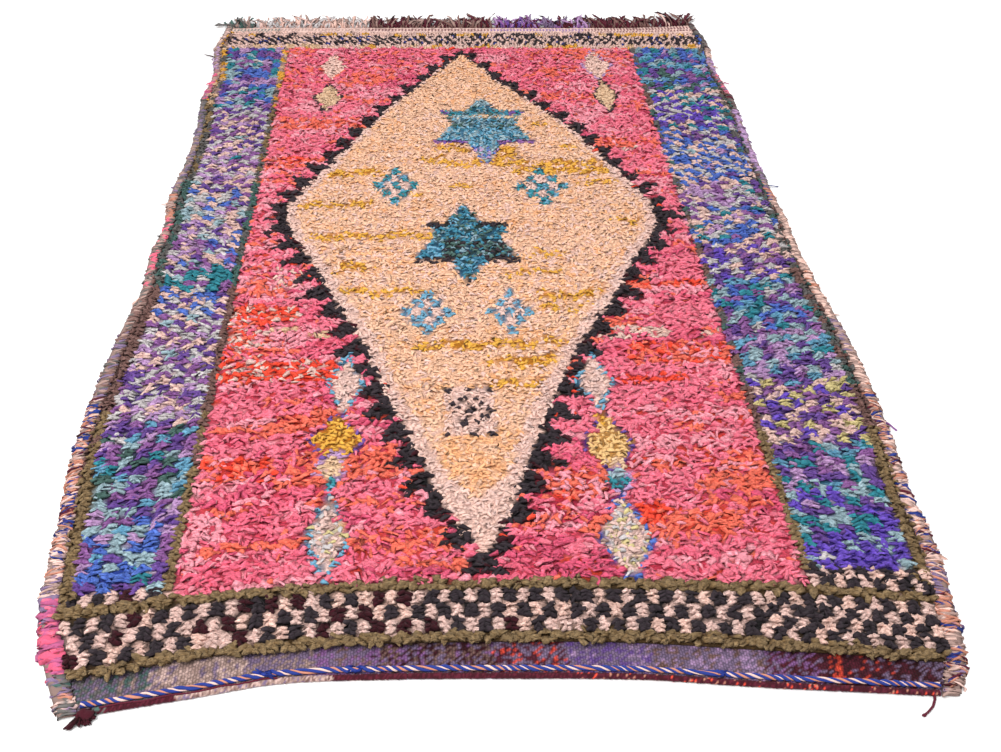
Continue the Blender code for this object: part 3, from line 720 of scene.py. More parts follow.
def lock_map(verts, faces, around, rings):
    """A map of the lock in the unit square, one row of points for each corner of each face."""
    place = []
    for face in faces:
        ring = [k % around for k in face]
        level = [verts[k][2] for k in face]
        if len(face) == around and max(level) - min(level) < 1e-6:
            base = 0.0 if level[0] < 0.5 else 0.93
            for k in range(around):
                turn = 2 * math.pi * k / around
                place.append((0.5 + 0.4 * math.cos(turn), base + 0.035 + 0.03 * math.sin(turn)))
            continue
        sides = [r for r, k in zip(ring, face) if k < around * rings]
        wraps = max(sides) - min(sides) > 1
        for r, k, high in zip(ring, face, level):
            if k >= around * rings:
                mean = [s + around if wraps and s == 0 else s for s in sides]
                u = sum(mean) / len(mean)
            else:
                u = r + around if wraps and r == 0 else r
            place.append((u / around, 0.09 + 0.82 * high))
    return np.array(place)


RAG_SECTION = ((-1.0, -0.2), (-0.45, 0.80), (0.05, 0.25), (0.55, 0.85), (1.0, -0.3))
YARN_SECTION = ((-1.0, -0.3), (-0.35, 0.95), (0.40, 0.75), (1.0, -0.3))
CORD_SECTION = ((-1.0, 0.0), (0.0, 1.0), (1.0, 0.0), (0.0, -1.0))
YARN_STATIONS = ((0.0, 0.60), (0.50, 1.0), (1.0, 0.70))
CLUMP_STATIONS = ((0.0, 0.60), (0.34, 0.95), (0.76, 1.0), (1.0, 0.60))


class Locks:
    """Arrays that describe many locks: each has a root, a heading, sizes and a dye."""

    def __init__(self, x, d, colour, random, long, wide, thick, top, turn=0.24, root=0.0065):
        count = len(x)
        self.x, self.y = x, MIDDLE - d
        self.colour = colour
        self.random = random
        self.root = np.full(count, root)
        self.yaw = random.normal(0, turn, count)
        self.long = long * random.uniform(0.82, 1.18, count)
        self.half = wide / 2 * random.uniform(0.78, 1.22, count)
        self.thick = thick * random.uniform(0.8, 1.3, count)
        self.rise = (top - root) * random.uniform(0.78, 1.08, count)
        self.droop = 0.0050 * random.uniform(0.5, 1.3, count)
        self.roll = random.normal(0, 0.22, count)
        self.curl = random.normal(0, 0.16, count)
        self.crumple = 0.0010
        self.ripple = 0.0011
        # How strongly the dye is darkened towards the root: painted shade deep in the pile
        self.dim = 0.55
        self.floor = WEAVE_THICK + 0.0008

    def kept(self, mask):
        """The same arrays for some of the locks."""
        some = object.__new__(Locks)
        for key, value in self.__dict__.items():
            whole = isinstance(value, np.ndarray) and len(value) == len(self.x)
            setattr(some, key, value[mask] if whole else value)
        return some


def lock_points(locks, verts):
    """The points of every lock, each a copy of the modelled one bent over its own path."""
    s = verts[:, 2][None, :]
    long, rise, droop, roll = (value[:, None] for value in (locks.long, locks.rise, locks.droop, locks.roll))
    bend = np.minimum(s * 1.30, 1.0) * math.pi / 2
    fwd = long * (0.16 * s + 0.84 * s**1.5)
    up = rise * np.sin(bend) - droop * s**3
    fwd_slope = long * (0.16 + 1.26 * s**0.5)
    up_slope = rise * 1.30 * math.pi / 2 * np.cos(bend) - 3 * droop * s**2
    size = np.sqrt(fwd_slope**2 + up_slope**2)
    heading = np.stack((np.sin(locks.yaw), -np.cos(locks.yaw), 0 * locks.yaw), 1)[:, None, :]
    across = np.stack((np.cos(locks.yaw), np.sin(locks.yaw), 0 * locks.yaw), 1)[:, None, :]
    upward = np.array((0.0, 0.0, 1.0))
    normal = heading * (-up_slope / size)[..., None] + upward * (fwd_slope / size)[..., None]
    turn = roll * (0.5 + s)
    side = across * np.cos(turn)[..., None] + normal * np.sin(turn)[..., None]
    face = normal * np.cos(turn)[..., None] - across * np.sin(turn)[..., None]
    root = np.stack((locks.x, locks.y, locks.root), 1)[:, None, :]
    points = root + heading * fwd[..., None] + upward * up[..., None]
    points = points + across * ((locks.curl * locks.long)[:, None] * s**2)[..., None]
    points = points + side * (verts[:, 0][None, :] * locks.half[:, None])[..., None]
    points = points + face * (verts[:, 1][None, :] * locks.thick[:, None])[..., None]
    points = points + locks.random.normal(0, locks.crumple, points.shape) * (s > 0.01)[..., None]
    level = np.unique(verts[:, 2], return_inverse=True)[1]
    ripple = locks.random.normal(0, locks.ripple, (len(locks.x), level.max() + 1))
    ripple[:, 0] = 0.0
    points = points + upward * ripple[:, level][..., None]
    points[..., 2] = np.maximum(points[..., 2], locks.floor)
    return points


def joined(name, groups):
    """One mesh from groups of (locks, form): each lock has its dye and its own cell of the surface map."""
    points, dyes, maps, corners, sizes = [], [], [], [], []
    total = sum(len(locks.x) for locks, _ in groups)
    across = math.ceil(math.sqrt(total))
    first, start = 0, 0
    for locks, (verts, faces, form_uv) in groups:
        count = len(locks.x)
        if not count:
            continue
        where = lock_points(locks, verts)
        points.append(where.reshape(-1, 3))
        # Painted shade: each lock's dye is darker and deeper towards its root and full towards its tip, then
        # varied at random per lock and per point
        s = np.clip(verts[:, 2], 0, 1)[None, :, None]
        shade = 1.0 + locks.dim * (1 - s) ** 1.5
        tint = locks.colour[:, None, :] ** shade * (0.86 + 0.14 * s)
        tint = tint * locks.random.normal(1.0, 0.045, (count, 1, 1))
        tint = tint * locks.random.normal(1.0, 0.055, (count, len(verts), 1))
        dyes.append(np.clip(tint, 0.0, 1.0).reshape(-1, 3))
        flat = np.array([k for face in faces for k in face])
        corners.append((flat[None, :] + start + np.arange(count)[:, None] * len(verts)).reshape(-1))
        sizes.append(np.tile([len(face) for face in faces], count))
        cell = np.arange(first, first + count)
        corner = np.stack((cell % across, cell // across), 1)[:, None, :]
        maps.append(((corner + 0.06 + 0.88 * form_uv[None, :, :]) / across).reshape(-1, 2))
        start += count * len(verts)
        first += count
    return mesh_of(name, np.concatenate(points), np.concatenate(corners), np.concatenate(sizes),
                   np.concatenate(dyes), np.concatenate(maps))


def mesh_of(name, points, corners, sizes, dyes=None, maps=None):
    mesh = bpy.data.meshes.new(name)
    mesh.vertices.add(len(points))
    mesh.vertices.foreach_set("co", points.astype(np.float32).ravel())
    mesh.loops.add(len(corners))
    mesh.loops.foreach_set("vertex_index", corners.astype(np.int32))
    mesh.polygons.add(len(sizes))
    mesh.polygons.foreach_set("loop_start", np.concatenate(([0], np.cumsum(sizes)[:-1])).astype(np.int32))
    mesh.update(calc_edges=True)
    if dyes is not None:
        paint(mesh, dyes)
    if maps is not None:
        layer = mesh.uv_layers.new(name="OFBake")
        layer.data.foreach_set("uv", maps.astype(np.float32).ravel())
    mesh.validate()
    mesh.shade_smooth()
    piece = bpy.data.objects.new(name, mesh)
    bpy.context.scene.collection.objects.link(piece)
    return piece


def paint(mesh, dyes):
    layer = mesh.color_attributes.new("dye", "FLOAT_COLOR", "POINT")
    layer.data.foreach_set("color", np.c_[dyes, np.ones(len(dyes))].astype(np.float32).ravel())


def placed(piece, material=None):
    """Gives a piece its body and, where one is named, its material."""
    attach(piece, "root")
    if material is not None:
        piece.data.materials.append(material)
    return piece


# Materials


def added(tree, kind, values=(), links=(), **settings):
    """A shader node with its settings, its constant inputs and the sockets that feed it."""
    node = tree.nodes.new("ShaderNode" + kind)
    for key, value in settings.items():
        setattr(node, key, value)
    for key, value in dict(values).items():
        node.inputs[key].default_value = value
    for key, socket in dict(links).items():
        tree.links.new(socket, node.inputs[key])
    return node


def maths(tree, operation, source, value=None):
    """A math node fed by one socket, and by a second socket or a number."""
    number = isinstance(value, (int, float))
    links = {0: source} if number or value is None else {0: source, 1: value}
    return added(tree, "Math", {1: value} if number else {}, links, operation=operation).outputs["Value"]


def remapped(tree, source, before=(0.0, 1.0), after=(0.0, 1.0), how="LINEAR"):
    """A socket's values, moved from one range to another."""
    ends = {"From Min": before[0], "From Max": before[1], "To Min": after[0], "To Max": after[1]}
    return added(tree, "MapRange", ends, {"Value": source}, interpolation_type=how).outputs["Result"]


def cloth_material(name, fine, rough, depth, mottle, weave=None, crease=None, stitch=None, colour=None):
    """Dyed cloth: one colour or the piece's dye attribute, mottled, with creases (painted shade along their
    folds), stitches or a weave.
    """
    material = bpy.data.materials.new(name)
    material.use_nodes = True
    tree = material.node_tree
    shader = tree.nodes["Principled BSDF"]
    surface = {"Roughness": rough, "Specular IOR Level": 0.10, "Sheen Weight": 0.04, "Sheen Roughness": 0.6}
    for key, value in surface.items():
        shader.inputs[key].default_value = value
    place = tree.nodes.new("ShaderNodeTexCoord").outputs["Object"]
    if colour is None:
        dyed = added(tree, "Attribute", attribute_name="dye").outputs["Color"]
    else:
        dyed = tree.nodes.new("ShaderNodeRGB").outputs[0]
        dyed.default_value = (*colour, 1.0)
    grain = {"Scale": fine, "Detail": 4.0, "Roughness": 0.65}
    noise = height = added(tree, "TexNoise", grain, {"Vector": place}).outputs["Fac"]
    tone = remapped(tree, noise, (0.3, 0.7), (1.0 - mottle, 1.0 + mottle * 0.6))
    if crease:
        scale, dark, high = crease
        folds = {"Scale": 1.0, "Detail": 2.0, "Roughness": 0.55, "Distortion": 0.6}
        squeeze = {1: (0.42 * scale, scale, 1.2 * scale)}
        squeezed = added(tree, "VectorMath", squeeze, {0: place}, operation="MULTIPLY").outputs["Vector"]
        folded = added(tree, "TexNoise", folds, {"Vector": squeezed}).outputs["Fac"]
        away = maths(tree, "ABSOLUTE", maths(tree, "SUBTRACT", folded, 0.5))
        valley = remapped(tree, away, (0.0, 0.09), how="SMOOTHSTEP")
        # Painted shade: the colour is darkened along the crease lines and slightly lightened between them,
        # besides the bump
        tone = maths(tree, "MULTIPLY", tone, remapped(tree, valley, after=(1.0 - dark, 1.0 + 0.25 * dark)))
        height = maths(tree, "ADD", maths(tree, "MULTIPLY", valley, high), noise)
    if stitch:
        long, high, dark = stitch
        apart = added(tree, "SeparateXYZ", links={0: place}).outputs
        turned = added(tree, "CombineXYZ", links={"X": apart["Y"], "Y": apart["X"]}).outputs["Vector"]
        warp = added(tree, "TexNoise", {"Scale": 130.0}, {"Vector": place}).outputs["Color"]
        nudge = {1: (0.006, 0.006, 0.0)}
        nudged = added(tree, "VectorMath", nudge, {0: warp, 2: turned}, operation="MULTIPLY_ADD")
        rows = {"Scale": 1.0, "Brick Width": long, "Row Height": high, "Mortar Size": 0.22 * high}
        rows["Mortar Smooth"] = 0.6
        brick = added(tree, "TexBrick", rows, {"Vector": nudged.outputs["Vector"]}).outputs["Fac"]
        tone = maths(tree, "MULTIPLY", tone, remapped(tree, brick, after=(1.0, 1.0 - dark)))
        height = maths(tree, "SUBTRACT", noise, brick)
    if weave:
        bands = {"Scale": weave[1], "Distortion": 1.2, "Detail": 1.0, "Detail Scale": 3.0}
        wave = added(tree, "TexWave", bands, {"Vector": place}, wave_type="BANDS", bands_direction=weave[0])
        height = maths(tree, "ADD", wave.outputs["Fac"], noise)
    mix = added(tree, "VectorMath", links={0: dyed, "Scale": tone}, operation="SCALE")
    bump = added(tree, "Bump", {"Strength": 0.8, "Distance": depth}, {"Height": height})
    tree.links.new(mix.outputs["Vector"], shader.inputs["Base Color"])
    tree.links.new(bump.outputs["Normal"], shader.inputs["Normal"])
    return material


# The pieces


def lattice(row_pitch, pitch, jitter, random):
    """Knots in rows that run from the far edge of the pile to the near one: x, d and row number."""
    rows, columns = round(PILE_LONG / row_pitch), round(PILE_WIDE / pitch)
    row = np.repeat(np.arange(rows), columns)
    along = (row + 0.5 + random.uniform(-jitter, jitter, len(row))) / rows
    share = (np.tile(np.arange(columns), rows) + 0.25 + 0.5 * (row % 2)) / columns
    share = np.clip(share + random.uniform(-0.36, 0.36, len(row)) / columns, 0.002, 0.998)
    far, near = end_line(PILE_FAR, 0.022), end_line(PILE_NEAR)
    x, d = crossing(share, lambda at: (1 - along) * far(at) + along * near(at))
    return x, d, row


def spread(random, count, aside, turn, straight):
    """Headings of rag ends: most lie to the left or right of their knot, some point to the near end."""
    yaw = np.where(random.random(count) < 0.5, -aside, aside)
    return np.where(random.random(count) < straight, 0.0, yaw) + random.normal(0, turn, count)


def bundles(px, pd, colour, places, long, z):
    """Rag ends tied together at each pattern place: their roots, dyes and fanned headings."""
    aside, ahead, fan = np.array(places).T
    count = len(px)
    x = (px[:, None] + aside).ravel()
    d = (pd[:, None] + ahead - 0.45 * long * np.cos(fan)).ravel()
    x, d = from_pattern(x, d, z)
    return x, d, np.repeat(colour, len(places), 0), np.tile(fan, count)


def fanned(start, rows, turn):
    """Places of rag ends that lie to both sides of a knot's middle, row by row."""
    return [(-sign * start, row + 0.0006 * sign, sign * turn) for row in rows for sign in (-1, 1)]


def between_edges(locks):
    """Shortens the rag ends that would lie over the wrapped edges."""
    d = MIDDLE - locks.y
    locks.x = np.clip(locks.x, foot_at(-1, d) + 0.004, foot_at(1, d) - 0.004)
    for side in (-1, 1):
        room = (side * (foot_at(side, d) - locks.x) + 0.003) / np.maximum(side * np.sin(locks.yaw), 0.05)
        locks.long = np.minimum(locks.long, np.maximum(room, 0.006))
    return locks


def border_knots(dyeing, side):
    """Places, dyes and slants of the clumps of one side border."""
    rows = int((2.10 - BORDER_FAR) / CLUMP_LONG)
    row = np.repeat(np.arange(rows), 12)
    d = BORDER_FAR + (row + 0.5) * CLUMP_LONG
    inner = INNER[side]
    _, _, shift = dyeing.border_cells(inner + 0 * d, d, side)
    i = np.tile(np.arange(-1, 11), rows) + np.floor(shift)
    out = COLUMN_WIDE + (i + 0.5 - shift) * CLUMP_WIDE
    x = inner + side * out
    room = side * (foot_at(side, d) - x)
    high = through(OLIVE_ROWS, 1, x)
    limit = high - (0.036 if side < 0 else 0.057)
    kept = (out > COLUMN_WIDE - 0.004) & (room > COLUMN_WIDE - 0.006) & (d < limit + 0.013)
    clear = COLUMN_WIDE + 0.009
    x = x + side * (np.maximum(clear - out, 0.0) - np.maximum(clear - room, 0.0))
    x, d = x[kept], np.minimum(d, limit)[kept]
    once = np.arange(rows * 2)
    edge_d = BORDER_FAR + (once % rows + 0.5) * CLUMP_LONG
    edge_x = np.where(once < rows, inner + side * 0.0085, foot_at(side, edge_d) - side * 0.0105)
    kept = edge_d < through(OLIVE_ROWS, 1, edge_x) - 0.012
    size = np.repeat((1.0, 0.70), (len(x), kept.sum()))
    return np.concatenate((x, edge_x[kept])), np.concatenate((d, edge_d[kept])), size


def seen_from(x, d, yaw, reach, z):
    """Pattern places that the middles of slanting locks cover."""
    return on_pattern(x + reach * np.sin(yaw), d + reach * np.cos(yaw), z)


def medallion_knots(sizes, random, dyeing, yarn):
    """The fine yarn of the medallion and of the slim lozenges, in a far and a near half."""
    x, d, row = lattice(sizes.yarn_row, sizes.yarn_pitch, 0.14, random)
    yaw = spread(random, len(x), 1.25, 0.28, 0.12)
    px, pd = seen_from(x, d, yaw, 0.45 * sizes.yarn_long, YARN_SEEN)
    colour, part = dyeing.whole(px, pd, row)
    fine = part == FINE
    long, wide, top = sizes.yarn_long, sizes.yarn_wide, sizes.pile_top - 0.002
    locks = Locks(x[fine], d[fine], colour[fine], random, long, wide, 0.0015, top)
    locks.yaw = yaw[fine]
    locks.roll *= 0.7
    locks.crumple, locks.ripple, locks.dim = 0.0009, 0.0009, 0.05
    far_half = locks.y > MIDDLE - HALFWAY
    dyed = cloth_material("fine_yarn_pile", 900.0, 0.92, 0.0005, 0.10, crease=(300.0, 0.08, 1.3))
    for name, half in (("medallion_far", far_half), ("medallion_near", ~far_half)):
        placed(joined(name, [(locks.kept(half), yarn)]), dyed)


def field_knots(sizes, random, dyeing, yarn, rag):
    """The rags of the field, in a left and a right half."""
    x, d, row = lattice(sizes.rag_row, sizes.rag_pitch, 0.22, random)
    yaw = spread(random, len(x), 1.22, 0.30, 0.10)
    px, pd = seen_from(x, d, yaw, 0.45 * sizes.rag_long, RAG_SEEN)
    colour, part = dyeing.whole(px, pd, np.floor(row / 2))
    long, wide, top = sizes.rag_long, sizes.rag_wide, sizes.pile_top
    for name, half in (("field_left", px < -0.02), ("field_right", px >= -0.02)):
        mask = (part == FIELD) & half
        locks = Locks(x[mask], d[mask], colour[mask], random, long, wide, 0.0022, top)
        locks.yaw = yaw[mask]
        locks.rise *= np.where(row[mask] % 2 == 0, 1.0, 0.85)
        locks.half *= random.uniform(0.75, 1.40, mask.sum())
        locks.crumple, locks.ripple, locks.dim = 0.0012, 0.0014, 0.30
        placed(joined(name, [(locks, yarn)]), rag)


def border_locks(sizes, random, dyeing, side):
    """The clumps of one side border, six rags each."""
    cx, cd, size = border_knots(dyeing, side)
    places = fanned(0.0045, (-0.0062, 0.0002, 0.0064), 1.38)
    long, each = 0.0186, len(places)
    x, d, colour, fan = bundles(cx, cd, dyeing.border(cx, cd, side), places, long, RAG_SEEN)
    centre, size = np.repeat(cx, each), np.repeat(size, each)
    x = centre + (x - centre) * size
    locks = Locks(x, d, colour, random, long, 0.0088, 0.0024, sizes.pile_top, turn=0.26)
    locks.long *= size
    locks.crumple, locks.dim = 0.0012, 0.4
    lean = 0.22 * np.sin(cd * 5.0 + side) + random.normal(0, 0.20, len(cx))
    locks.yaw += fan + np.repeat(lean, each)
    return between_edges(locks)


def foot_locks(sizes, random, dyeing, side):
    """A row of rags along the foot of one wrapped edge."""
    d = np.arange(0.03, 2.10, 0.0092)
    x = foot_at(side, d) - side * 0.0058
    colour = np.zeros((len(d), 3))
    dyeing.columns(colour, x, d, side, np.ones(len(d), bool))
    locks = Locks(x, d, colour, random, 0.0130, 0.0100, 0.0022, sizes.pile_top - 0.0015)
    locks.yaw = spread(random, len(x), 1.10, 0.35, 0.15)
    locks.crumple = 0.0012
    return between_edges(locks)


def check_locks(sizes, random, dyeing):
    """The checked band at the near end, and its corners beyond the far olive row."""
    i, j = (a.ravel() for a in np.meshgrid(np.arange(-36, 37), np.arange(0, 6)))
    cx = (i + 0.5) * CHECK_WIDE
    low, step, count = check_rows(cx)
    left, right = cx < INNER[-1] - 0.012, cx > INNER[1] + 0.012
    beyond = (j == count) & (left | right) | (j == count + 1) & right
    past = through(OLIVE_ROWS, 1, cx) - 0.0215 - 0.0205 * (j - count)
    cd = np.where(j < count, low - (j + 0.5) * step, past)
    kept = ((j < count) | beyond) & (side_gap(cx, cd) > -0.007)
    places = fanned(0.0038, (-0.0082, -0.0002, 0.0078), 1.40)
    dyes, long = dyeing.checks(cx, cd)[kept], 0.0142
    x, d, colour, fan = bundles(cx[kept], cd[kept], dyes, places, long, RAG_SEEN)
    locks = Locks(x, d, colour, random, long, 0.0108, 0.0027, sizes.pile_top, turn=0.12)
    locks.crumple, locks.dim = 0.0010, 0.35
    locks.yaw += fan + np.repeat(random.normal(0, 0.10, kept.sum()), len(places))
    is_dark = colour.min(axis=1) < 0.1
    locks.half *= np.where(is_dark, 1.06, 0.97)
    locks.long *= np.where(is_dark, 1.04, 0.90)
    return between_edges(locks)


def far_band_locks(random, dyeing):
    """The low slanting rags of the checked band at the far end."""
    across, along = np.meshgrid(np.arange(-0.74, 0.75, 0.0078), np.arange(0.006, 0.112, 0.0096))
    cx = across.ravel() + random.uniform(-0.002, 0.002, across.size)
    cd = along.ravel() + random.uniform(-0.0015, 0.0015, across.size)
    kept = side_gap(cx, cd) > 0.006
    cx, cd = cx[kept], cd[kept]
    slant = np.interp(cx, (-0.7, -0.35, -0.15, 0.3, 0.7), (0.95, 0.85, 0.2, -0.3, -0.6))
    yaw = slant + random.normal(0, 0.35, len(cx))
    x, d = from_pattern(cx - 0.0072 * np.sin(yaw), cd - 0.0072 * np.cos(yaw), LOW_SEEN)
    locks = Locks(x, d, dyeing.far_checks(cx, cd), random, 0.0160, 0.0086, 0.0022, 0.0125)
    locks.yaw, locks.dim = yaw, 0.3
    return between_edges(locks)


def olive_locks(sizes, random, dyeing):
    """The two thick olive rows, each in two layers, and their turns at the side edges."""
    places = []
    for column, shift in ((1, -0.002), (2, -0.0035)):
        for layer in (0.0, 0.0065):
            x = np.arange(-0.73, 0.735, 0.0082) + random.uniform(-0.002, 0.002, 179)
            d = through(OLIVE_ROWS, column, x) + shift - 0.005 + layer
            places.append((x, d + random.normal(0, 0.0010, len(x))))
    for side in (-1, 1):
        d = np.arange(2.075, 2.125, 0.0085)
        places.append((foot_at(side, d) - side * 0.010, d - 0.006))
    x, d = (np.concatenate(part) for part in zip(*places))
    x, d = from_pattern(x, d, OLIVE_SEEN)
    inside = side_gap(x, d) > 0.002
    x, d = x[inside], d[inside]
    colour = dyeing.of("olive", random.random(len(x)))
    locks = Locks(x, d, colour, random, 0.0160, 0.0120, 0.0036, sizes.pile_top + 0.0014)
    locks.yaw = spread(random, len(x), 1.22, 0.30, 0.04)
    locks.roll *= 1.6
    locks.crumple = 0.0012
    return between_edges(locks)


def knotted_pile(context):
    """Ties all the pile: fine yarn in the medallion, rags round it, thick rows at the near end."""
    sizes = context.scene.rug_sizes
    random = np.random.default_rng(21)
    dyeing = Dyeing(context.scene.rug_dyes, 5)
    yarn = lock_form(YARN_SECTION, YARN_STATIONS)
    clump = lock_form(RAG_SECTION, CLUMP_STATIONS)
    medallion_knots(sizes, random, dyeing, yarn)
    rag = cloth_material("rag_pile", 420.0, 0.88, 0.0008, 0.12, crease=(230.0, 0.18, 2.0))
    field_knots(sizes, random, dyeing, yarn, rag)
    for side, name in ((-1, "border_left"), (1, "border_right")):
        groups = [(tie(sizes, random, dyeing, side), yarn) for tie in (border_locks, foot_locks)]
        placed(joined(name, groups), rag)
    groups = [(check_locks(sizes, random, dyeing), yarn), (far_band_locks(random, dyeing), yarn)]
    groups.append((olive_locks(sizes, random, dyeing), clump))
    placed(joined("end_bands", groups), rag)


def pile_bed(context):
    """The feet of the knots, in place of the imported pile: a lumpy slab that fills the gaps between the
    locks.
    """
    random = np.random.default_rng(4)
    near, far = end_line(PILE_NEAR), end_line(PILE_FAR, 0.020)
    bed, u, v, x, d = grid_piece("pile_bed", 84, 126, near, far, 0.002)
    z = np.interp(d, (0.03, 0.10, 0.14), (0.0060, 0.0070, 0.0098)) + random.uniform(-0.0008, 0.0012, len(x))
    rim = (u < 0.001) | (u > 0.999) | (v < 0.001) | (v > 0.999)
    z[rim] = np.minimum(z[rim], 0.0080)
    move_points(bed, np.stack((x, MIDDLE - d, z), 1))
    bpy.ops.object.mode_set(mode="EDIT")
    bpy.ops.mesh.select_all(action="SELECT")
    bpy.ops.mesh.region_to_loop()
    bpy.ops.mesh.extrude_region_move(TRANSFORM_OT_translate={"value": (0, 0, -0.004)})
    bpy.ops.transform.resize(value=(1, 1, 0), center_override=(0, 0, 0.0034))
    bpy.ops.mesh.edge_face_add()
    bpy.ops.mesh.select_all(action="SELECT")
    bpy.ops.mesh.normals_make_consistent(inside=False)
    bpy.ops.object.mode_set(mode="OBJECT")
    where = points_of(bed)
    px, pd = on_pattern(where[:, 0], MIDDLE - where[:, 1], LOW_SEEN)
    colour, _ = Dyeing(context.scene.rug_dyes, 5).whole(px, pd, np.round(pd / FOOT_ROW))
    # Painted shade: the bed takes the dyes above it, darkened (dark dyes more) as the shade in the gaps
    # between the locks
    pale = (colour.min(axis=1) > 0.25)[:, None]
    colour = np.clip(colour, 0, 1)
    paint(bed.data, np.where(pale, colour**1.15 * 0.90, colour**1.6 * 0.62))
    bed.data.shade_smooth()
    feet = cloth_material("knot_feet", 500.0, 0.95, 0.0010, 0.3, crease=(240.0, 0.22, 2.4))
    placed(bed, feet)
    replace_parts(bed, "pile")


def ground_weave(context):
    """The woven ground: one thin cloth with the whole outline, its knots showing through underneath."""
    cloth, _, _, x, d = grid_piece("ground_weave_cloth", 48, 72, end_line(HEM, -0.002), end_line(HEADING))
    move_points(cloth, np.stack((x, MIDDLE - d, np.full(len(x), 0.0005)), 1))
    thickened(cloth, 0.0024, 1.0)
    where = points_of(cloth)
    px, pd = where[:, 0], MIDDLE - where[:, 1]
    dyeing = Dyeing(context.scene.rug_dyes, 9)
    colour, _ = dyeing.whole(px, pd, np.round(pd / FOOT_ROW))
    end = (pd < through(END_ROWS, PILE_FAR, px)) | (pd > through(END_ROWS, PILE_NEAR, px))
    dyeing.put(colour, end, "string bone thistle")
    paint(cloth.data, np.clip(colour * 0.8 + 0.05, 0, 1))
    cloth.data.shade_smooth()
    ground = cloth_material("ground_cloth", 700.0, 0.95, 0.0008, 0.25, weave=("Y", 120.0))
    return placed(cloth, ground)


def woven_strip(name, lines, columns, rows, dye_of, lift, wave, stitch):
    """A flatwoven strip between two lines, its weft beads raised by a hair's breadth."""
    strip, u, v, x, d = grid_piece(name, columns, rows, *lines, 0.0005)
    i, j = np.round(u * columns).astype(int), np.round(v * rows).astype(int)
    bead = (i % 2) * 0.0005
    move_points(strip, np.stack((x, MIDDLE - d, WEAVE_THICK + lift + bead + wave(i, j)), 1))
    thickened(strip, 0.0012, -1.0)
    colour = dye_of(x, d, i, j)
    paint(strip.data, np.concatenate((colour, colour)))
    strip.data.shade_smooth()
    placed(strip, cloth_material(name + "_yarn", 1500.0, 0.92, 0.0006, 0.22, stitch=stitch))


def flat_ends(context):
    """The cream heading at the far end and the many-coloured strip at the near end."""
    dyeing = Dyeing(context.scene.rug_dyes, 13)
    random = np.random.default_rng(33)

    def near_dyes_and_shade(x, d, i, j):
        colour = np.zeros((len(x), 3))
        starts = np.array([row[0] for row in STRIP_ROWS])
        band = np.searchsorted(starts, x + random.normal(0, 0.004, len(x))) - 1
        streak = dyeing.cell(2, np.floor(x / 0.0098), x * 0)
        for k, (_, names) in enumerate(STRIP_ROWS):
            chance = np.clip(0.55 * random.random(len(x)) + 0.45 * streak, 0, 0.999)
            dyeing.put(colour, band == k, names, chance)
        # Painted shade: the strip's dyes are darkened to 50 to 78 percent as the shade within the knit, by a
        # random amount at each point
        return colour * random.uniform(0.50, 0.78, (len(x), 1))

    def far_dyes(x, d, i, j):
        colour = dyeing.of("blush bone string bone", random.random(len(x)))
        colour = colour * np.where(j % 2 == 0, 1.10, 0.94)[:, None]
        dotted = (j > 5) & (j < 9) & (i % 2 == 0)
        dotted |= (j > 2) & (j < 5) & (i % 2 == 1) & ((x < -0.55) | (x > 0.3))
        dots = np.where(x < -0.58, 0, np.where(x < 0.08, 1, np.where(x < 0.38, 2, 1)))
        strong = (x < -0.58) | (x > -0.31)
        for k, names in enumerate(("green", "maroon", "purple")):
            dyeing.put(colour, dotted & (dots == k) & strong, names)
        dyeing.put(colour, dotted & ~strong, "string")
        edge = (j >= 9) & (x > 0.45)
        dyeing.put(colour, edge & (i % 2 == 0), "maroon string")
        return colour

    near_lines = end_line(HEM, -HEM_WIDE), end_line(PILE_NEAR, -0.012)
    far_lines = end_line(PILE_FAR, 0.016), end_line(HEADING, 0.012)
    woven_strip("near_flatweave", near_lines, 270, 15, near_dyes_and_shade, 0.0004,
                lambda i, j: 0.0002 * np.sin(j * 1.6), (0.0060, 0.0046, 0.45))
    woven_strip("far_heading", far_lines, 280, 10, far_dyes, 0.0008,
                lambda i, j: 0.0009 * np.isin(j, (4, 6, 8, 10)), (0.0050, 0.0040, 0.10))


def route_curve(name, paths, radius, resolution, materials):
    """Round yarns along paths, made a mesh."""
    route = bpy.data.curves.new(name, "CURVE")
    route.dimensions = "3D"
    route.bevel_depth = 1.0
    route.bevel_resolution = resolution
    route.use_fill_caps = True
    for material in materials:
        route.materials.append(material)
    for k, (path, sizes) in enumerate(paths):
        spline = route.splines.new("POLY")
        spline.points.add(len(path) - 1)
        spline.material_index = k % len(materials)
        for point, where, size in zip(spline.points, path, sizes):
            point.co = (*where, 1.0)
            point.radius = size * radius
    piece = bpy.data.objects.new(name, route)
    bpy.context.scene.collection.objects.link(piece)
    deselect_all()
    piece.select_set(True)
    bpy.context.view_layer.objects.active = piece
    bpy.ops.object.convert(target="MESH")
    piece = bpy.context.active_object
    piece.data.shade_smooth()
    return piece


def yarn_material(name, colour):
    """Twisted yarn in one dye, with fine plies."""
    return cloth_material(name, 1400.0, 0.88, 0.0004, 0.3, colour=colour)


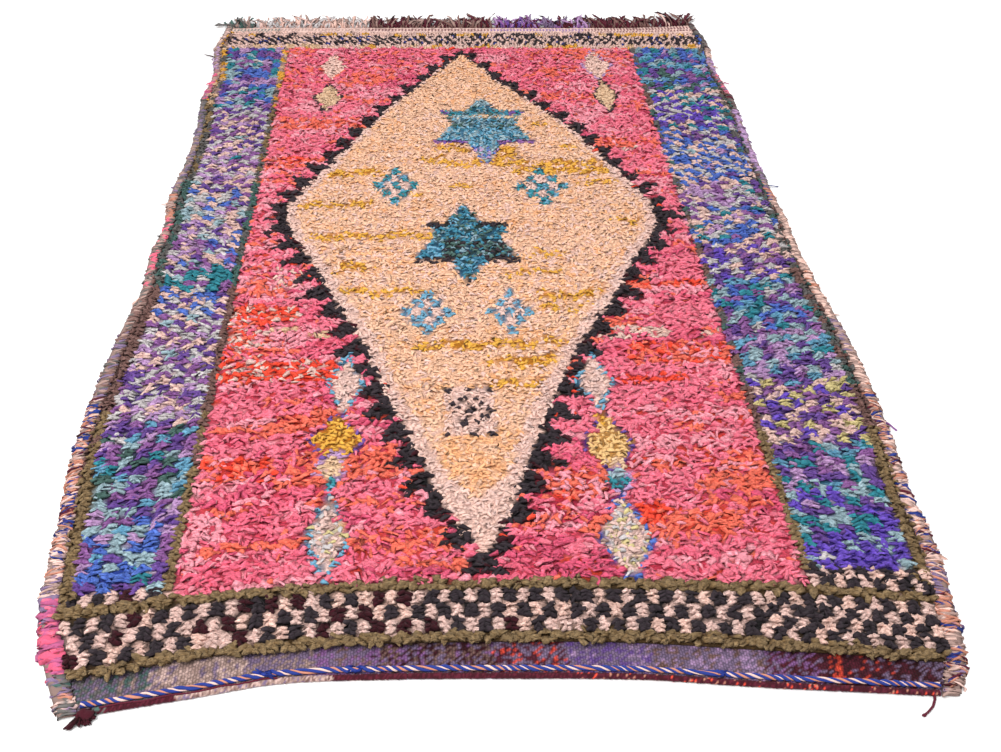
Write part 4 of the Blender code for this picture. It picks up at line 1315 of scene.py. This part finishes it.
def twined_cord(context):
    """Four plies, blue, cream, blue and coral, twined along the near end, with ties in three places."""
    dyes = context.scene.rug_dyes
    line = end_line(HEM, -(HEM_WIDE + CORD_CLEAR + CORD_RADIUS))
    x0, x1 = crossing(np.array((0.006, 0.994)), line)[0]
    x = np.linspace(x0, x1, 360)
    d = line(x)
    slope = np.gradient(d, x)
    lay = (x - x0) / 0.037 + 0.35 * np.sin(x * 9.0) + 0.22 * np.sin(x * 31.0) + 0.10 * np.sin(x * 73.0)
    paths = []
    for ply in range(4):
        turn = 2 * math.pi * (lay + ply / 4 + 0.03 * np.sin(x * 77 + ply * 2))
        reach = 1.0 + 0.18 * np.sin(x * 37 + 2 * ply)
        aside, up = 0.0027 * reach * np.cos(turn), 0.0021 * reach * np.sin(turn)
        where = np.stack((x - slope * aside, MIDDLE - (d - aside), 0.0074 + up), 1)
        swell = 1.0 + 0.10 * np.sin(x * 170 + ply) + 0.16 * np.sin(x * 47 + 3 * ply)
        if ply % 2 == 0:
            swell = swell + 0.14 + 0.20 * np.interp(x, (-0.55, -0.45, -0.32, -0.25), (0, 1, 1, 0))
        else:
            swell = swell - 0.26 + 0.22 * np.interp(x, (-0.62, -0.56, -0.50, -0.46), (1, 1, 0.4, 0))
        paths.append((where, swell))
    names = ("navy", "bone", "navy", "rust")
    plies = [yarn_material("cord_" + name, getattr(dyes, name)) for name in names]
    cord = placed(route_curve("twined_cord_plies", paths, 0.0021, 1, plies))
    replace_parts(cord, "twined_cord")
    random = np.random.default_rng(71)
    form = lock_form(CORD_SECTION, ((0.0, 0.9), (0.35, 1.0), (0.7, 0.9)), True)
    counts = (16, 8, 6)
    total = sum(counts)
    x = np.repeat((-0.372, -0.232, 0.330), counts) + random.normal(0, 0.004, total)
    colour = np.tile(np.array(dyes.navy), (total, 1)) * random.uniform(0.7, 1.5, (total, 1))
    d = line(x) + random.normal(0, 0.003, total)
    ties = Locks(x, d, colour, random, 0.015, 0.0040, 0.0014, 0.0125, turn=0.45, root=0.007)
    ties.yaw += math.pi / 2 * np.sign(random.normal(0, 1, total))
    material = cloth_material("tie_yarn", 1200.0, 0.9, 0.0005, 0.25)
    placed(joined("cord_ties", [(ties, form)]), material)


def hem_roll(context):
    """The rolled hem along the near end, overcast with yarn: maroon, beige for a short stretch."""
    random = np.random.default_rng(8)
    dyeing = Dyeing(context.scene.rug_dyes, 17)
    x0, x1 = crossing(np.array((0.001, 0.999)), end_line(HEM))[0]
    x = np.linspace(x0, x1, 470)
    middle = end_line(HEM, -HEM_INSET)
    path = np.stack((x, MIDDLE - middle(x), np.full(len(x), HEM_LIFT)), 1)
    sizes = 1.0 + 0.07 * random.standard_normal(len(x)) + 0.10 * (np.arange(len(x)) % 2)
    wool = cloth_material("hem_yarn", 900.0, 0.9, 0.0006, 0.3, weave=("X", 90.0))
    roll = placed(route_curve("rolled_hem", [(path, sizes)], HEM_RADIUS, 2, [wool]))
    points = points_of(roll)
    centre = MIDDLE - middle(points[:, 0])
    points[:, 1] = centre + (points[:, 1] - centre) * 1.08
    points[:, 2] = HEM_LIFT + (points[:, 2] - HEM_LIFT) * 0.78
    points[:, 2] = np.maximum(points[:, 2], 0.0002)
    move_points(roll, points)
    where = points[:, 0] + random.normal(0, 0.004, len(points))
    colour = dyeing.of("wine maroon wine", random.random(len(points)))
    beige = (where > -0.50) & (where < -0.27)
    dyeing.put(colour, beige, "string bone string thistle brown")
    colour[beige] *= 0.80
    dyeing.put(colour, (where > -0.66) & (where < -0.60), "grey green wine wine")
    dyeing.put(colour, (where > 0.10) & (random.random(len(points)) < 0.08), "red rust")
    paint(roll.data, colour)
    x = np.linspace(-0.605, -0.350, 110)
    d = through(END_ROWS, HEM, x) - 0.0086 + 0.0010 * np.sin(x * 90) + random.normal(0, 0.0003, len(x))
    path = np.stack((x, MIDDLE - d, np.full(len(x), 0.0074)), 1)
    wool = yarn_material("hem_thread_wool", context.scene.rug_dyes.maroon)
    thread = route_curve("hem_thread", [(path, 1.0 + 0.3 * random.random(len(x)))], 0.0013, 1, [wool])
    placed(thread)


def wrap_faces(stations, around, side):
    """The faces of one wrap: a tube of sections over the edge, closed at both feet."""
    faces = []
    for s in range(stations - 1):
        for c in range(around):
            n = (c + 1) % around
            quad = (s * around + c, s * around + n, (s + 1) * around + n, (s + 1) * around + c)
            faces.append(quad if side > 0 else quad[::-1])
    start, end = tuple(range(around)), tuple((stations - 1) * around + c for c in range(around))
    return faces + ([start[::-1], end] if side > 0 else [start, end[::-1]])


def wrapped_edges(context):
    """Both side edges: yarn and rag wound round a padded core, with stitches that cross the wraps."""
    dyeing = Dyeing(context.scene.rug_dyes, 19)
    pitch = context.scene.rug_sizes.wrap_pitch
    material = cloth_material("wrap_yarn", 700.0, 0.9, 0.0007, 0.25)
    rows = np.array(WRAP_ROWS)
    stations, around = len(rows), len(CORD_SECTION)
    tangent = np.gradient(rows, axis=0) * np.array((0.022, WRAP_HIGH))
    normal = np.stack((-tangent[:, 1], tangent[:, 0]), 1)
    normal /= np.linalg.norm(normal, axis=1)[:, None]
    taper = np.ones(stations)
    taper[[0, -1]] = 0.55
    across, out = np.array(CORD_SECTION).T
    for side, name in ((-1, "left_selvedge"), (1, "right_selvedge")):
        random = np.random.default_rng(40 + side)
        far_d, near_d = edge_ends(side)
        count = int((near_d - far_d) / pitch)
        d = np.linspace(far_d + 0.003, near_d - 0.003, count) + random.normal(0, 0.0007, count)
        bulge = 1.0 + 0.05 * np.sin(d * 61) + 0.04 * np.sin(d * 143 + 2)
        wide = wrap_wide(d) * random.uniform(0.84, 1.07, count) * bulge
        tall = WRAP_HIGH * random.uniform(0.84, 1.06, count) * bulge
        slant = random.normal(0.0032, 0.0050, count)
        half = pitch * random.uniform(0.55, 0.95, count)
        lift = 0.0009 * random.uniform(0.8, 1.5, count)
        rag = (side < 0) & (d > 2.095) & (d < 2.245) & (np.arange(count) % 2 == 0)
        half[rag] *= 2.6
        lift[rag] *= 2.2
        over = np.sort(random.uniform(STITCHED_FROM, near_d - 0.012, 84))
        over = over[(side > 0) | (over < 2.09)]
        more = len(over)
        stitches = (
            over,
            wrap_wide(over) * random.uniform(0.95, 1.06, more),
            np.full(more, WRAP_HIGH * 1.04),
            random.choice((-1, 1), more) * random.uniform(0.005, 0.013, more),
            random.uniform(0.0011, 0.0019, more),
            random.uniform(0.0016, 0.0022, more),
        )
        wraps = (d, wide, tall, slant, half, lift)
        d, wide, tall, slant, half, lift = (np.concatenate(pair) for pair in zip(wraps, stitches))
        crossing_over = np.arange(count + more) >= count
        ragged = (side < 0) & (d > 2.09) & (d < 2.25)
        rough = np.where(ragged, 0.0020, np.where(d > STITCHED_FROM, 0.0011, 0.0008))
        count += more
        wide, tall, slant, half, lift = (value[:, None, None] for value in (wide, tall, slant, half, lift))
        raised = lift * (out[None, None, :] * taper[None, :, None])
        w = rows[:, 0][None, :, None] * wide + raised * normal[:, 0][None, :, None]
        h = rows[:, 1][None, :, None] * tall + raised * normal[:, 1][None, :, None]
        along = half * across[None, None, :] * taper[None, :, None]
        along = along + slant * np.linspace(-1, 1, stations)[None, :, None]
        x, y = foot_at(side, d)[:, None, None] + side * w, MIDDLE - (d[:, None, None] + along)
        points = np.stack((x, y, h), -1)
        points = points + random.normal(0, 1.0, points.shape) * rough[:, None, None, None]
        points[..., 2] = np.maximum(points[..., 2], 0.0002)
        one = wrap_faces(stations, around, side)
        flat = np.array([v for face in one for v in face])
        corners = (flat[None, :] + np.arange(count)[:, None] * stations * around).reshape(-1)
        faces = np.tile([len(face) for face in one], count)
        band = band_of(WRAP_DYES, side, d + random.normal(0, 0.006, count))
        colour, fleck = np.zeros((count, 3)), np.zeros((count, 3))
        for b, row in enumerate(of_side(WRAP_DYES, side)):
            dyeing.put(colour, band == b, row[2])
            dyeing.put(fleck, band == b, row[2])
        dyeing.put(colour, crossing_over, "navy rust bone maroon rust")
        fleck[crossing_over] = colour[crossing_over]
        spotted = random.random((count, stations)) < 0.35
        colour = np.where(spotted[..., None], fleck[:, None, :], colour[:, None, :])
        colour = np.repeat(colour.reshape(-1, 3), around, 0)
        colour = np.clip(colour * random.uniform(0.78, 1.08, (len(colour), 1)), 0, 1)
        wound = mesh_of(name + "_wraps", points.reshape(-1, 3), corners, faces, colour)
        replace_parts(placed(wound, material), name)


def edge_core(context):
    """The bundles of edge warps that show between the wraps."""
    for side, name in ((-1, "left_core"), (1, "right_core")):
        far_d, near_d = edge_ends(side)
        d = np.linspace(far_d + 0.001, near_d - 0.001, 120)
        x = foot_at(side, d) + side * wrap_wide(d) * 0.5
        path = np.stack((x, MIDDLE - d, np.full(len(d), 0.0041)), 1)
        # Painted shade: the string dye darkened to 0.55, as the core lies in shade between the wraps
        warp = yarn_material(name + "_warp", tuple(0.55 * c for c in context.scene.rug_dyes.string))
        core = route_curve(name, [(path, np.ones(len(d)))], CORE_RADIUS, 1, [warp])
        points = points_of(core)
        d = MIDDLE - points[:, 1]
        span = wrap_wide(d) * 0.5
        centre = foot_at(side, d) + side * wrap_wide(d) * 0.5
        points[:, 0] = centre + (points[:, 0] - centre) / CORE_RADIUS * span * 0.92
        move_points(core, points)
        placed(core)


def loose_ends(context):
    """Rag and yarn ends that stick out of the wrapped edges."""
    random = np.random.default_rng(77)
    dyeing = Dyeing(context.scene.rug_dyes, 23)
    form = lock_form(RAG_SECTION, ((0.0, 0.8), (0.45, 1.0), (1.0, 0.7)))

    def on_wrap(side, at, share):
        return side * (abs(float(foot_at(side, at))) + float(wrap_wide(at)) * share)

    ends = []
    for side, at, reach, slant, name in LOOSE_ENDS:
        long, yaw = math.hypot(reach, slant) + 0.004, math.atan2(side * reach, slant)
        ends.append((on_wrap(side, at, 0.75), at, long, yaw, name))
    for side in (-1, 1):
        for at in np.sort(random.uniform(0.05, 2.2, 60)):
            x = on_wrap(side, at, random.uniform(0.3, 0.85))
            long, yaw = random.uniform(0.006, 0.012), side * random.uniform(0.6, 2.2)
            band = int(band_of(WRAP_DYES, side, np.array([at]))[0])
            names = of_side(WRAP_DYES, side)[band][2].split()
            ends.append((x, at, long, yaw, names[int(random.integers(0, 2))]))
    x, d, long, yaw, names = zip(*ends)
    colour = np.array([dyeing.dyes[name] for name in names])
    locks = Locks(np.array(x), np.array(d), colour, random, 0.01, 0.005, 0.0009, 0.0085, root=0.0055)
    locks.long, locks.yaw = np.array(long), np.array(yaw)
    locks.rise = random.uniform(0.001, 0.0035, len(x))
    locks.droop = np.full(len(x), 0.004)
    locks.floor = ABOVE_FLOOR
    rag = cloth_material("loose_rag", 600.0, 0.9, 0.0008, 0.2)
    placed(joined("loose_edge_ends", [(locks, form)]), rag)


def cut_fringe(context):
    """The cut warp ends along the far end: crinkled strands in brush-like bunches."""
    random = np.random.default_rng(51)
    dyeing = Dyeing(context.scene.rug_dyes, 29)
    form = lock_form(CORD_SECTION, ((0.0, 0.75), (0.25, 1.0), (0.5, 0.92), (0.75, 0.8), (0.9, 0.6)), True)
    x0, x1 = crossing(np.array((0.002, 0.998)), end_line(HEADING))[0]
    count = int((x1 - x0) / context.scene.rug_sizes.fringe_pitch)
    x = np.linspace(x0, x1, count) + random.normal(0, 0.0007, count)
    sway = 0.3 * np.sin(x * 31)
    bunch = np.floor((x + 0.8) / BUNCH_WIDE + sway)
    middle = (bunch + 0.5 - sway) * BUNCH_WIDE - 0.8
    kept = np.min(np.abs(x[:, None] - np.array(FRINGE_BARE)[None, :]), axis=1) > 0.006
    x, bunch, middle = x[kept], bunch[kept], middle[kept]
    count = len(x)
    colour = np.zeros((count, 3))
    band = np.searchsorted([row[0] for row in FRINGE_DYES], x) - 1
    for k, (_, names) in enumerate(FRINGE_DYES):
        dyeing.put(colour, band == k, names)
    d = through(END_ROWS, HEADING, x) + 0.013
    locks = Locks(x, d, colour, random, 0.05, 0.0030, 0.0012, 0.008, root=0.0035)
    short = 0.72 + 0.34 * dyeing.cell(1, bunch, bunch * 0)
    locks.long = (through(FRINGE_ROWS, 1, x) + 0.022) * short * random.uniform(0.66, 1.04, count)
    lean = through(FRINGE_ROWS, 2, x) + (middle - x) * 0.55 + random.normal(0, 0.013, count)
    lean = lean + 0.010 * (dyeing.cell(2, bunch, bunch * 0) - 0.5)
    locks.yaw = math.pi - np.arctan2(lean, locks.long)
    locks.rise = random.uniform(0.0010, 0.0135, count)
    locks.droop = random.uniform(0.0, 0.005, count)
    locks.curl = random.normal(0, 0.45, count)
    locks.half = 0.0035 * random.uniform(0.7, 1.3, count)
    locks.thick = 0.0018 * random.uniform(0.8, 1.2, count)
    locks.crumple, locks.dim = 0.0021, 0.2
    locks.floor = ABOVE_FLOOR
    wool = cloth_material("fringe_wool", 1100.0, 0.92, 0.0006, 0.3)
    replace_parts(placed(joined("cut_fringe", [(locks, form)]), wool), "far_fringe")


def corner_tassel(context):
    """The maroon knot at the near left corner, with its tail and cut ends."""
    random = np.random.default_rng(61)
    dyes = context.scene.rug_dyes
    centre = np.array((KNOT_AT[0], MIDDLE - KNOT_AT[1], 0.0082))
    deselect_all()
    bpy.ops.mesh.primitive_ico_sphere_add(subdivisions=4, radius=1.0)
    knot = taken("corner_knot")
    points = points_of(knot)
    x, y, z = points.T
    turn = np.arctan2(z, x * 0.8 + y * 0.6)
    swell = 1.0 + 0.13 * np.sin(3 * turn + 4 * y) + 0.07 * np.sin(7 * x + 5 * z)
    points = points * swell[:, None] * np.array((0.0112, 0.0098, 0.0078)) + centre
    points[:, 2] = np.maximum(points[:, 2], ABOVE_FLOOR)
    move_points(knot, points)
    paint(knot.data, np.tile(np.array(dyes.wine) * 1.1, (len(points), 1)))
    knot.data.shade_smooth()
    wool = cloth_material("knot_wool", 900.0, 0.92, 0.0009, 0.35)
    placed(knot, wool)
    form = lock_form(CORD_SECTION, ((0.0, 0.9), (0.3, 1.0), (0.6, 0.95), (0.9, 0.8)), True)
    turn, long = [], []
    for angle, reach in TASSEL_ENDS:
        for _ in range(4):
            turn.append(math.radians(angle + random.normal(0, 6)))
            long.append(reach * random.uniform(0.8, 1.0))
    turn, long = np.array(turn), np.array(long)
    count = len(turn)
    x, y = centre[0] + 0.004 * np.cos(turn), centre[1] + 0.004 * np.sin(turn)
    colour = np.tile(np.array(dyes.wine), (count, 1))
    colour[::5] = np.array(dyes.maroon)
    locks = Locks(x, MIDDLE - y, colour, random, 0.02, 0.003, 0.0012, 0.008, root=0.006)
    locks.long, locks.yaw = long - 0.004, np.arctan2(np.cos(turn), -np.sin(turn))
    locks.rise = random.uniform(0.001, 0.006, count)
    locks.droop = np.full(count, 0.006)
    locks.half, locks.thick = np.full(count, 0.0016), np.full(count, 0.0013)
    locks.floor = ABOVE_FLOOR
    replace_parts(placed(joined("corner_tassel_ends", [(locks, form)]), wool), "corner_tassel")


def corner_thread(context):
    """The loose maroon thread at the near right corner: two fine plies, slightly frayed."""
    at = np.array(THREAD_ROWS)
    t = np.linspace(0, len(at) - 1, 40)
    x, d = (np.interp(t, np.arange(len(at)), at[:, k]) for k in (0, 1))
    paths = []
    for ply in range(2):
        turn = t * 9 + ply * math.pi
        where = np.stack((x + 0.0010 * np.cos(turn), MIDDLE - d, 0.0026 + 0.0009 * np.sin(turn)), 1)
        paths.append((where, np.interp(t, (0, 3.5, 3.8, 4), (1.0, 1.0, 1.7, 1.2))))
    wool = yarn_material("thread_wool", context.scene.rug_dyes.maroon)
    thread = route_curve("corner_thread_plies", paths, 0.0015, 1, [wool])
    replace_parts(placed(thread), "corner_thread")


# Floor, light and camera


def studio(context):
    """A pale floor, two soft lights, a white surround and the photographed view."""
    scene = context.scene
    deselect_all()
    bpy.ops.mesh.primitive_plane_add(size=60.0)
    floor = taken("floor")
    paper = bpy.data.materials.new("pale_floor")
    paper.use_nodes = True
    shader = paper.node_tree.nodes["Principled BSDF"]
    shader.inputs["Base Color"].default_value = (0.93, 0.93, 0.93, 1.0)
    shader.inputs["Roughness"].default_value = 0.9
    shader.inputs["Specular IOR Level"].default_value = 0.0
    floor.data.materials.append(paper)
    world = bpy.data.worlds.new("studio")
    scene.world = world
    world.use_nodes = True
    sky = world.node_tree.nodes["Background"]
    sky.inputs["Color"].default_value = (1.0, 1.0, 1.0, 1.0)
    sky.inputs["Strength"].default_value = 0.80
    for name, place, power, size in (
        ("key", (-1.6, -1.6, 3.4), 131.0, 1.8),
        ("fill", (2.2, 1.0, 3.0), 45.0, 2.4),
    ):
        light = bpy.data.lights.new(name, "AREA")
        light.energy, light.size = power, size
        lamp = bpy.data.objects.new(name, light)
        lamp.location = place
        lamp.rotation_euler = (-Vector(place)).to_track_quat("-Z", "Y").to_euler()
        scene.collection.objects.link(lamp)
    camera_data = bpy.data.cameras.new("photo_view")
    camera_data.sensor_width = 36.0
    camera_data.lens = 36.0 * FOCAL / PICTURE_WIDE
    camera_data.clip_start, camera_data.clip_end = 0.05, 200.0
    camera = bpy.data.objects.new("photo_view", camera_data)
    pitch, yaw, roll = (math.radians(turn) for turn in (PITCH, YAW, ROLL))
    ahead = Vector((math.sin(yaw) * math.cos(pitch), math.cos(yaw) * math.cos(pitch), -math.sin(pitch)))
    right = Vector((math.cos(yaw), -math.sin(yaw), 0.0))
    up = right.cross(ahead)
    level_right = right * math.cos(roll) + up * math.sin(roll)
    level_up = up * math.cos(roll) - right * math.sin(roll)
    turned = Matrix((level_right, level_up, -ahead)).transposed().to_4x4()
    camera.matrix_world = Matrix.Translation(CAMERA_AT) @ turned
    scene.collection.objects.link(camera)
    bpy.context.scene.camera = camera
    scene.view_settings.view_transform = "Standard"


# Operators and panel


class RUG_OT_ground(bpy.types.Operator):
    """Weave the ground cloth with its flat ends and its hem"""

    bl_idname = "rug.ground"
    bl_label = "Ground Weave"

    def execute(self, context):
        cloth = ground_weave(context)
        flat_ends(context)
        hem_roll(context)
        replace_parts(cloth, "ground_weave")
        return {"FINISHED"}


class RUG_OT_pile(bpy.types.Operator):
    """Knot the rag and yarn pile"""

    bl_idname = "rug.pile"
    bl_label = "Pile"

    def execute(self, context):
        pile_bed(context)
        knotted_pile(context)
        return {"FINISHED"}


class RUG_OT_edges(bpy.types.Operator):
    """Wind the side edges with yarn and rag"""

    bl_idname = "rug.edges"
    bl_label = "Wrapped Edges"

    def execute(self, context):
        edge_core(context)
        wrapped_edges(context)
        loose_ends(context)
        return {"FINISHED"}


class RUG_OT_cord(bpy.types.Operator):
    """Twine the cord along the near end"""

    bl_idname = "rug.cord"
    bl_label = "Twined Cord"

    def execute(self, context):
        twined_cord(context)
        return {"FINISHED"}


class RUG_OT_fringe(bpy.types.Operator):
    """Cut the fringe at the far end"""

    bl_idname = "rug.fringe"
    bl_label = "Cut Fringe"

    def execute(self, context):
        cut_fringe(context)
        return {"FINISHED"}


class RUG_OT_corners(bpy.types.Operator):
    """Knot the corner tassel and lay the loose thread"""

    bl_idname = "rug.corners"
    bl_label = "Corner Tassel and Thread"

    def execute(self, context):
        corner_tassel(context)
        corner_thread(context)
        return {"FINISHED"}


class RUG_OT_stage(bpy.types.Operator):
    """Set the pale floor, the soft light and the camera"""

    bl_idname = "rug.stage"
    bl_label = "Studio"

    def execute(self, context):
        studio(context)
        return {"FINISHED"}


OPERATORS = (
    RUG_OT_ground, RUG_OT_pile, RUG_OT_edges, RUG_OT_cord, RUG_OT_fringe, RUG_OT_corners, RUG_OT_stage,
)


class RUG_PT_panel(bpy.types.Panel):
    bl_idname = "RUG_PT_panel"
    bl_label = "Boucherouite Rug"
    bl_space_type = "VIEW_3D"
    bl_region_type = "UI"
    bl_category = "Rug"

    def draw(self, context):
        for operator in OPERATORS:
            self.layout.operator(operator.bl_idname)
        for group in (context.scene.rug_sizes, context.scene.rug_dyes):
            box = self.layout.box()
            for key in type(group).__annotations__:
                box.prop(group, key)


CLASSES = (RugSizes, RugDyes, *OPERATORS, RUG_PT_panel)


def register():
    for one in CLASSES:
        bpy.utils.register_class(one)
    bpy.types.Scene.rug_sizes = bpy.props.PointerProperty(type=RugSizes)
    bpy.types.Scene.rug_dyes = bpy.props.PointerProperty(type=RugDyes)


def unregister():
    del bpy.types.Scene.rug_dyes
    del bpy.types.Scene.rug_sizes
    for one in reversed(CLASSES):
        bpy.utils.unregister_class(one)


def main():
    register()
    bpy.ops.rug.ground()
    bpy.ops.rug.pile()
    bpy.ops.rug.edges()
    bpy.ops.rug.cord()
    bpy.ops.rug.fringe()
    bpy.ops.rug.corners()
    bpy.ops.rug.stage()


if __name__ == "__main__":
    main()
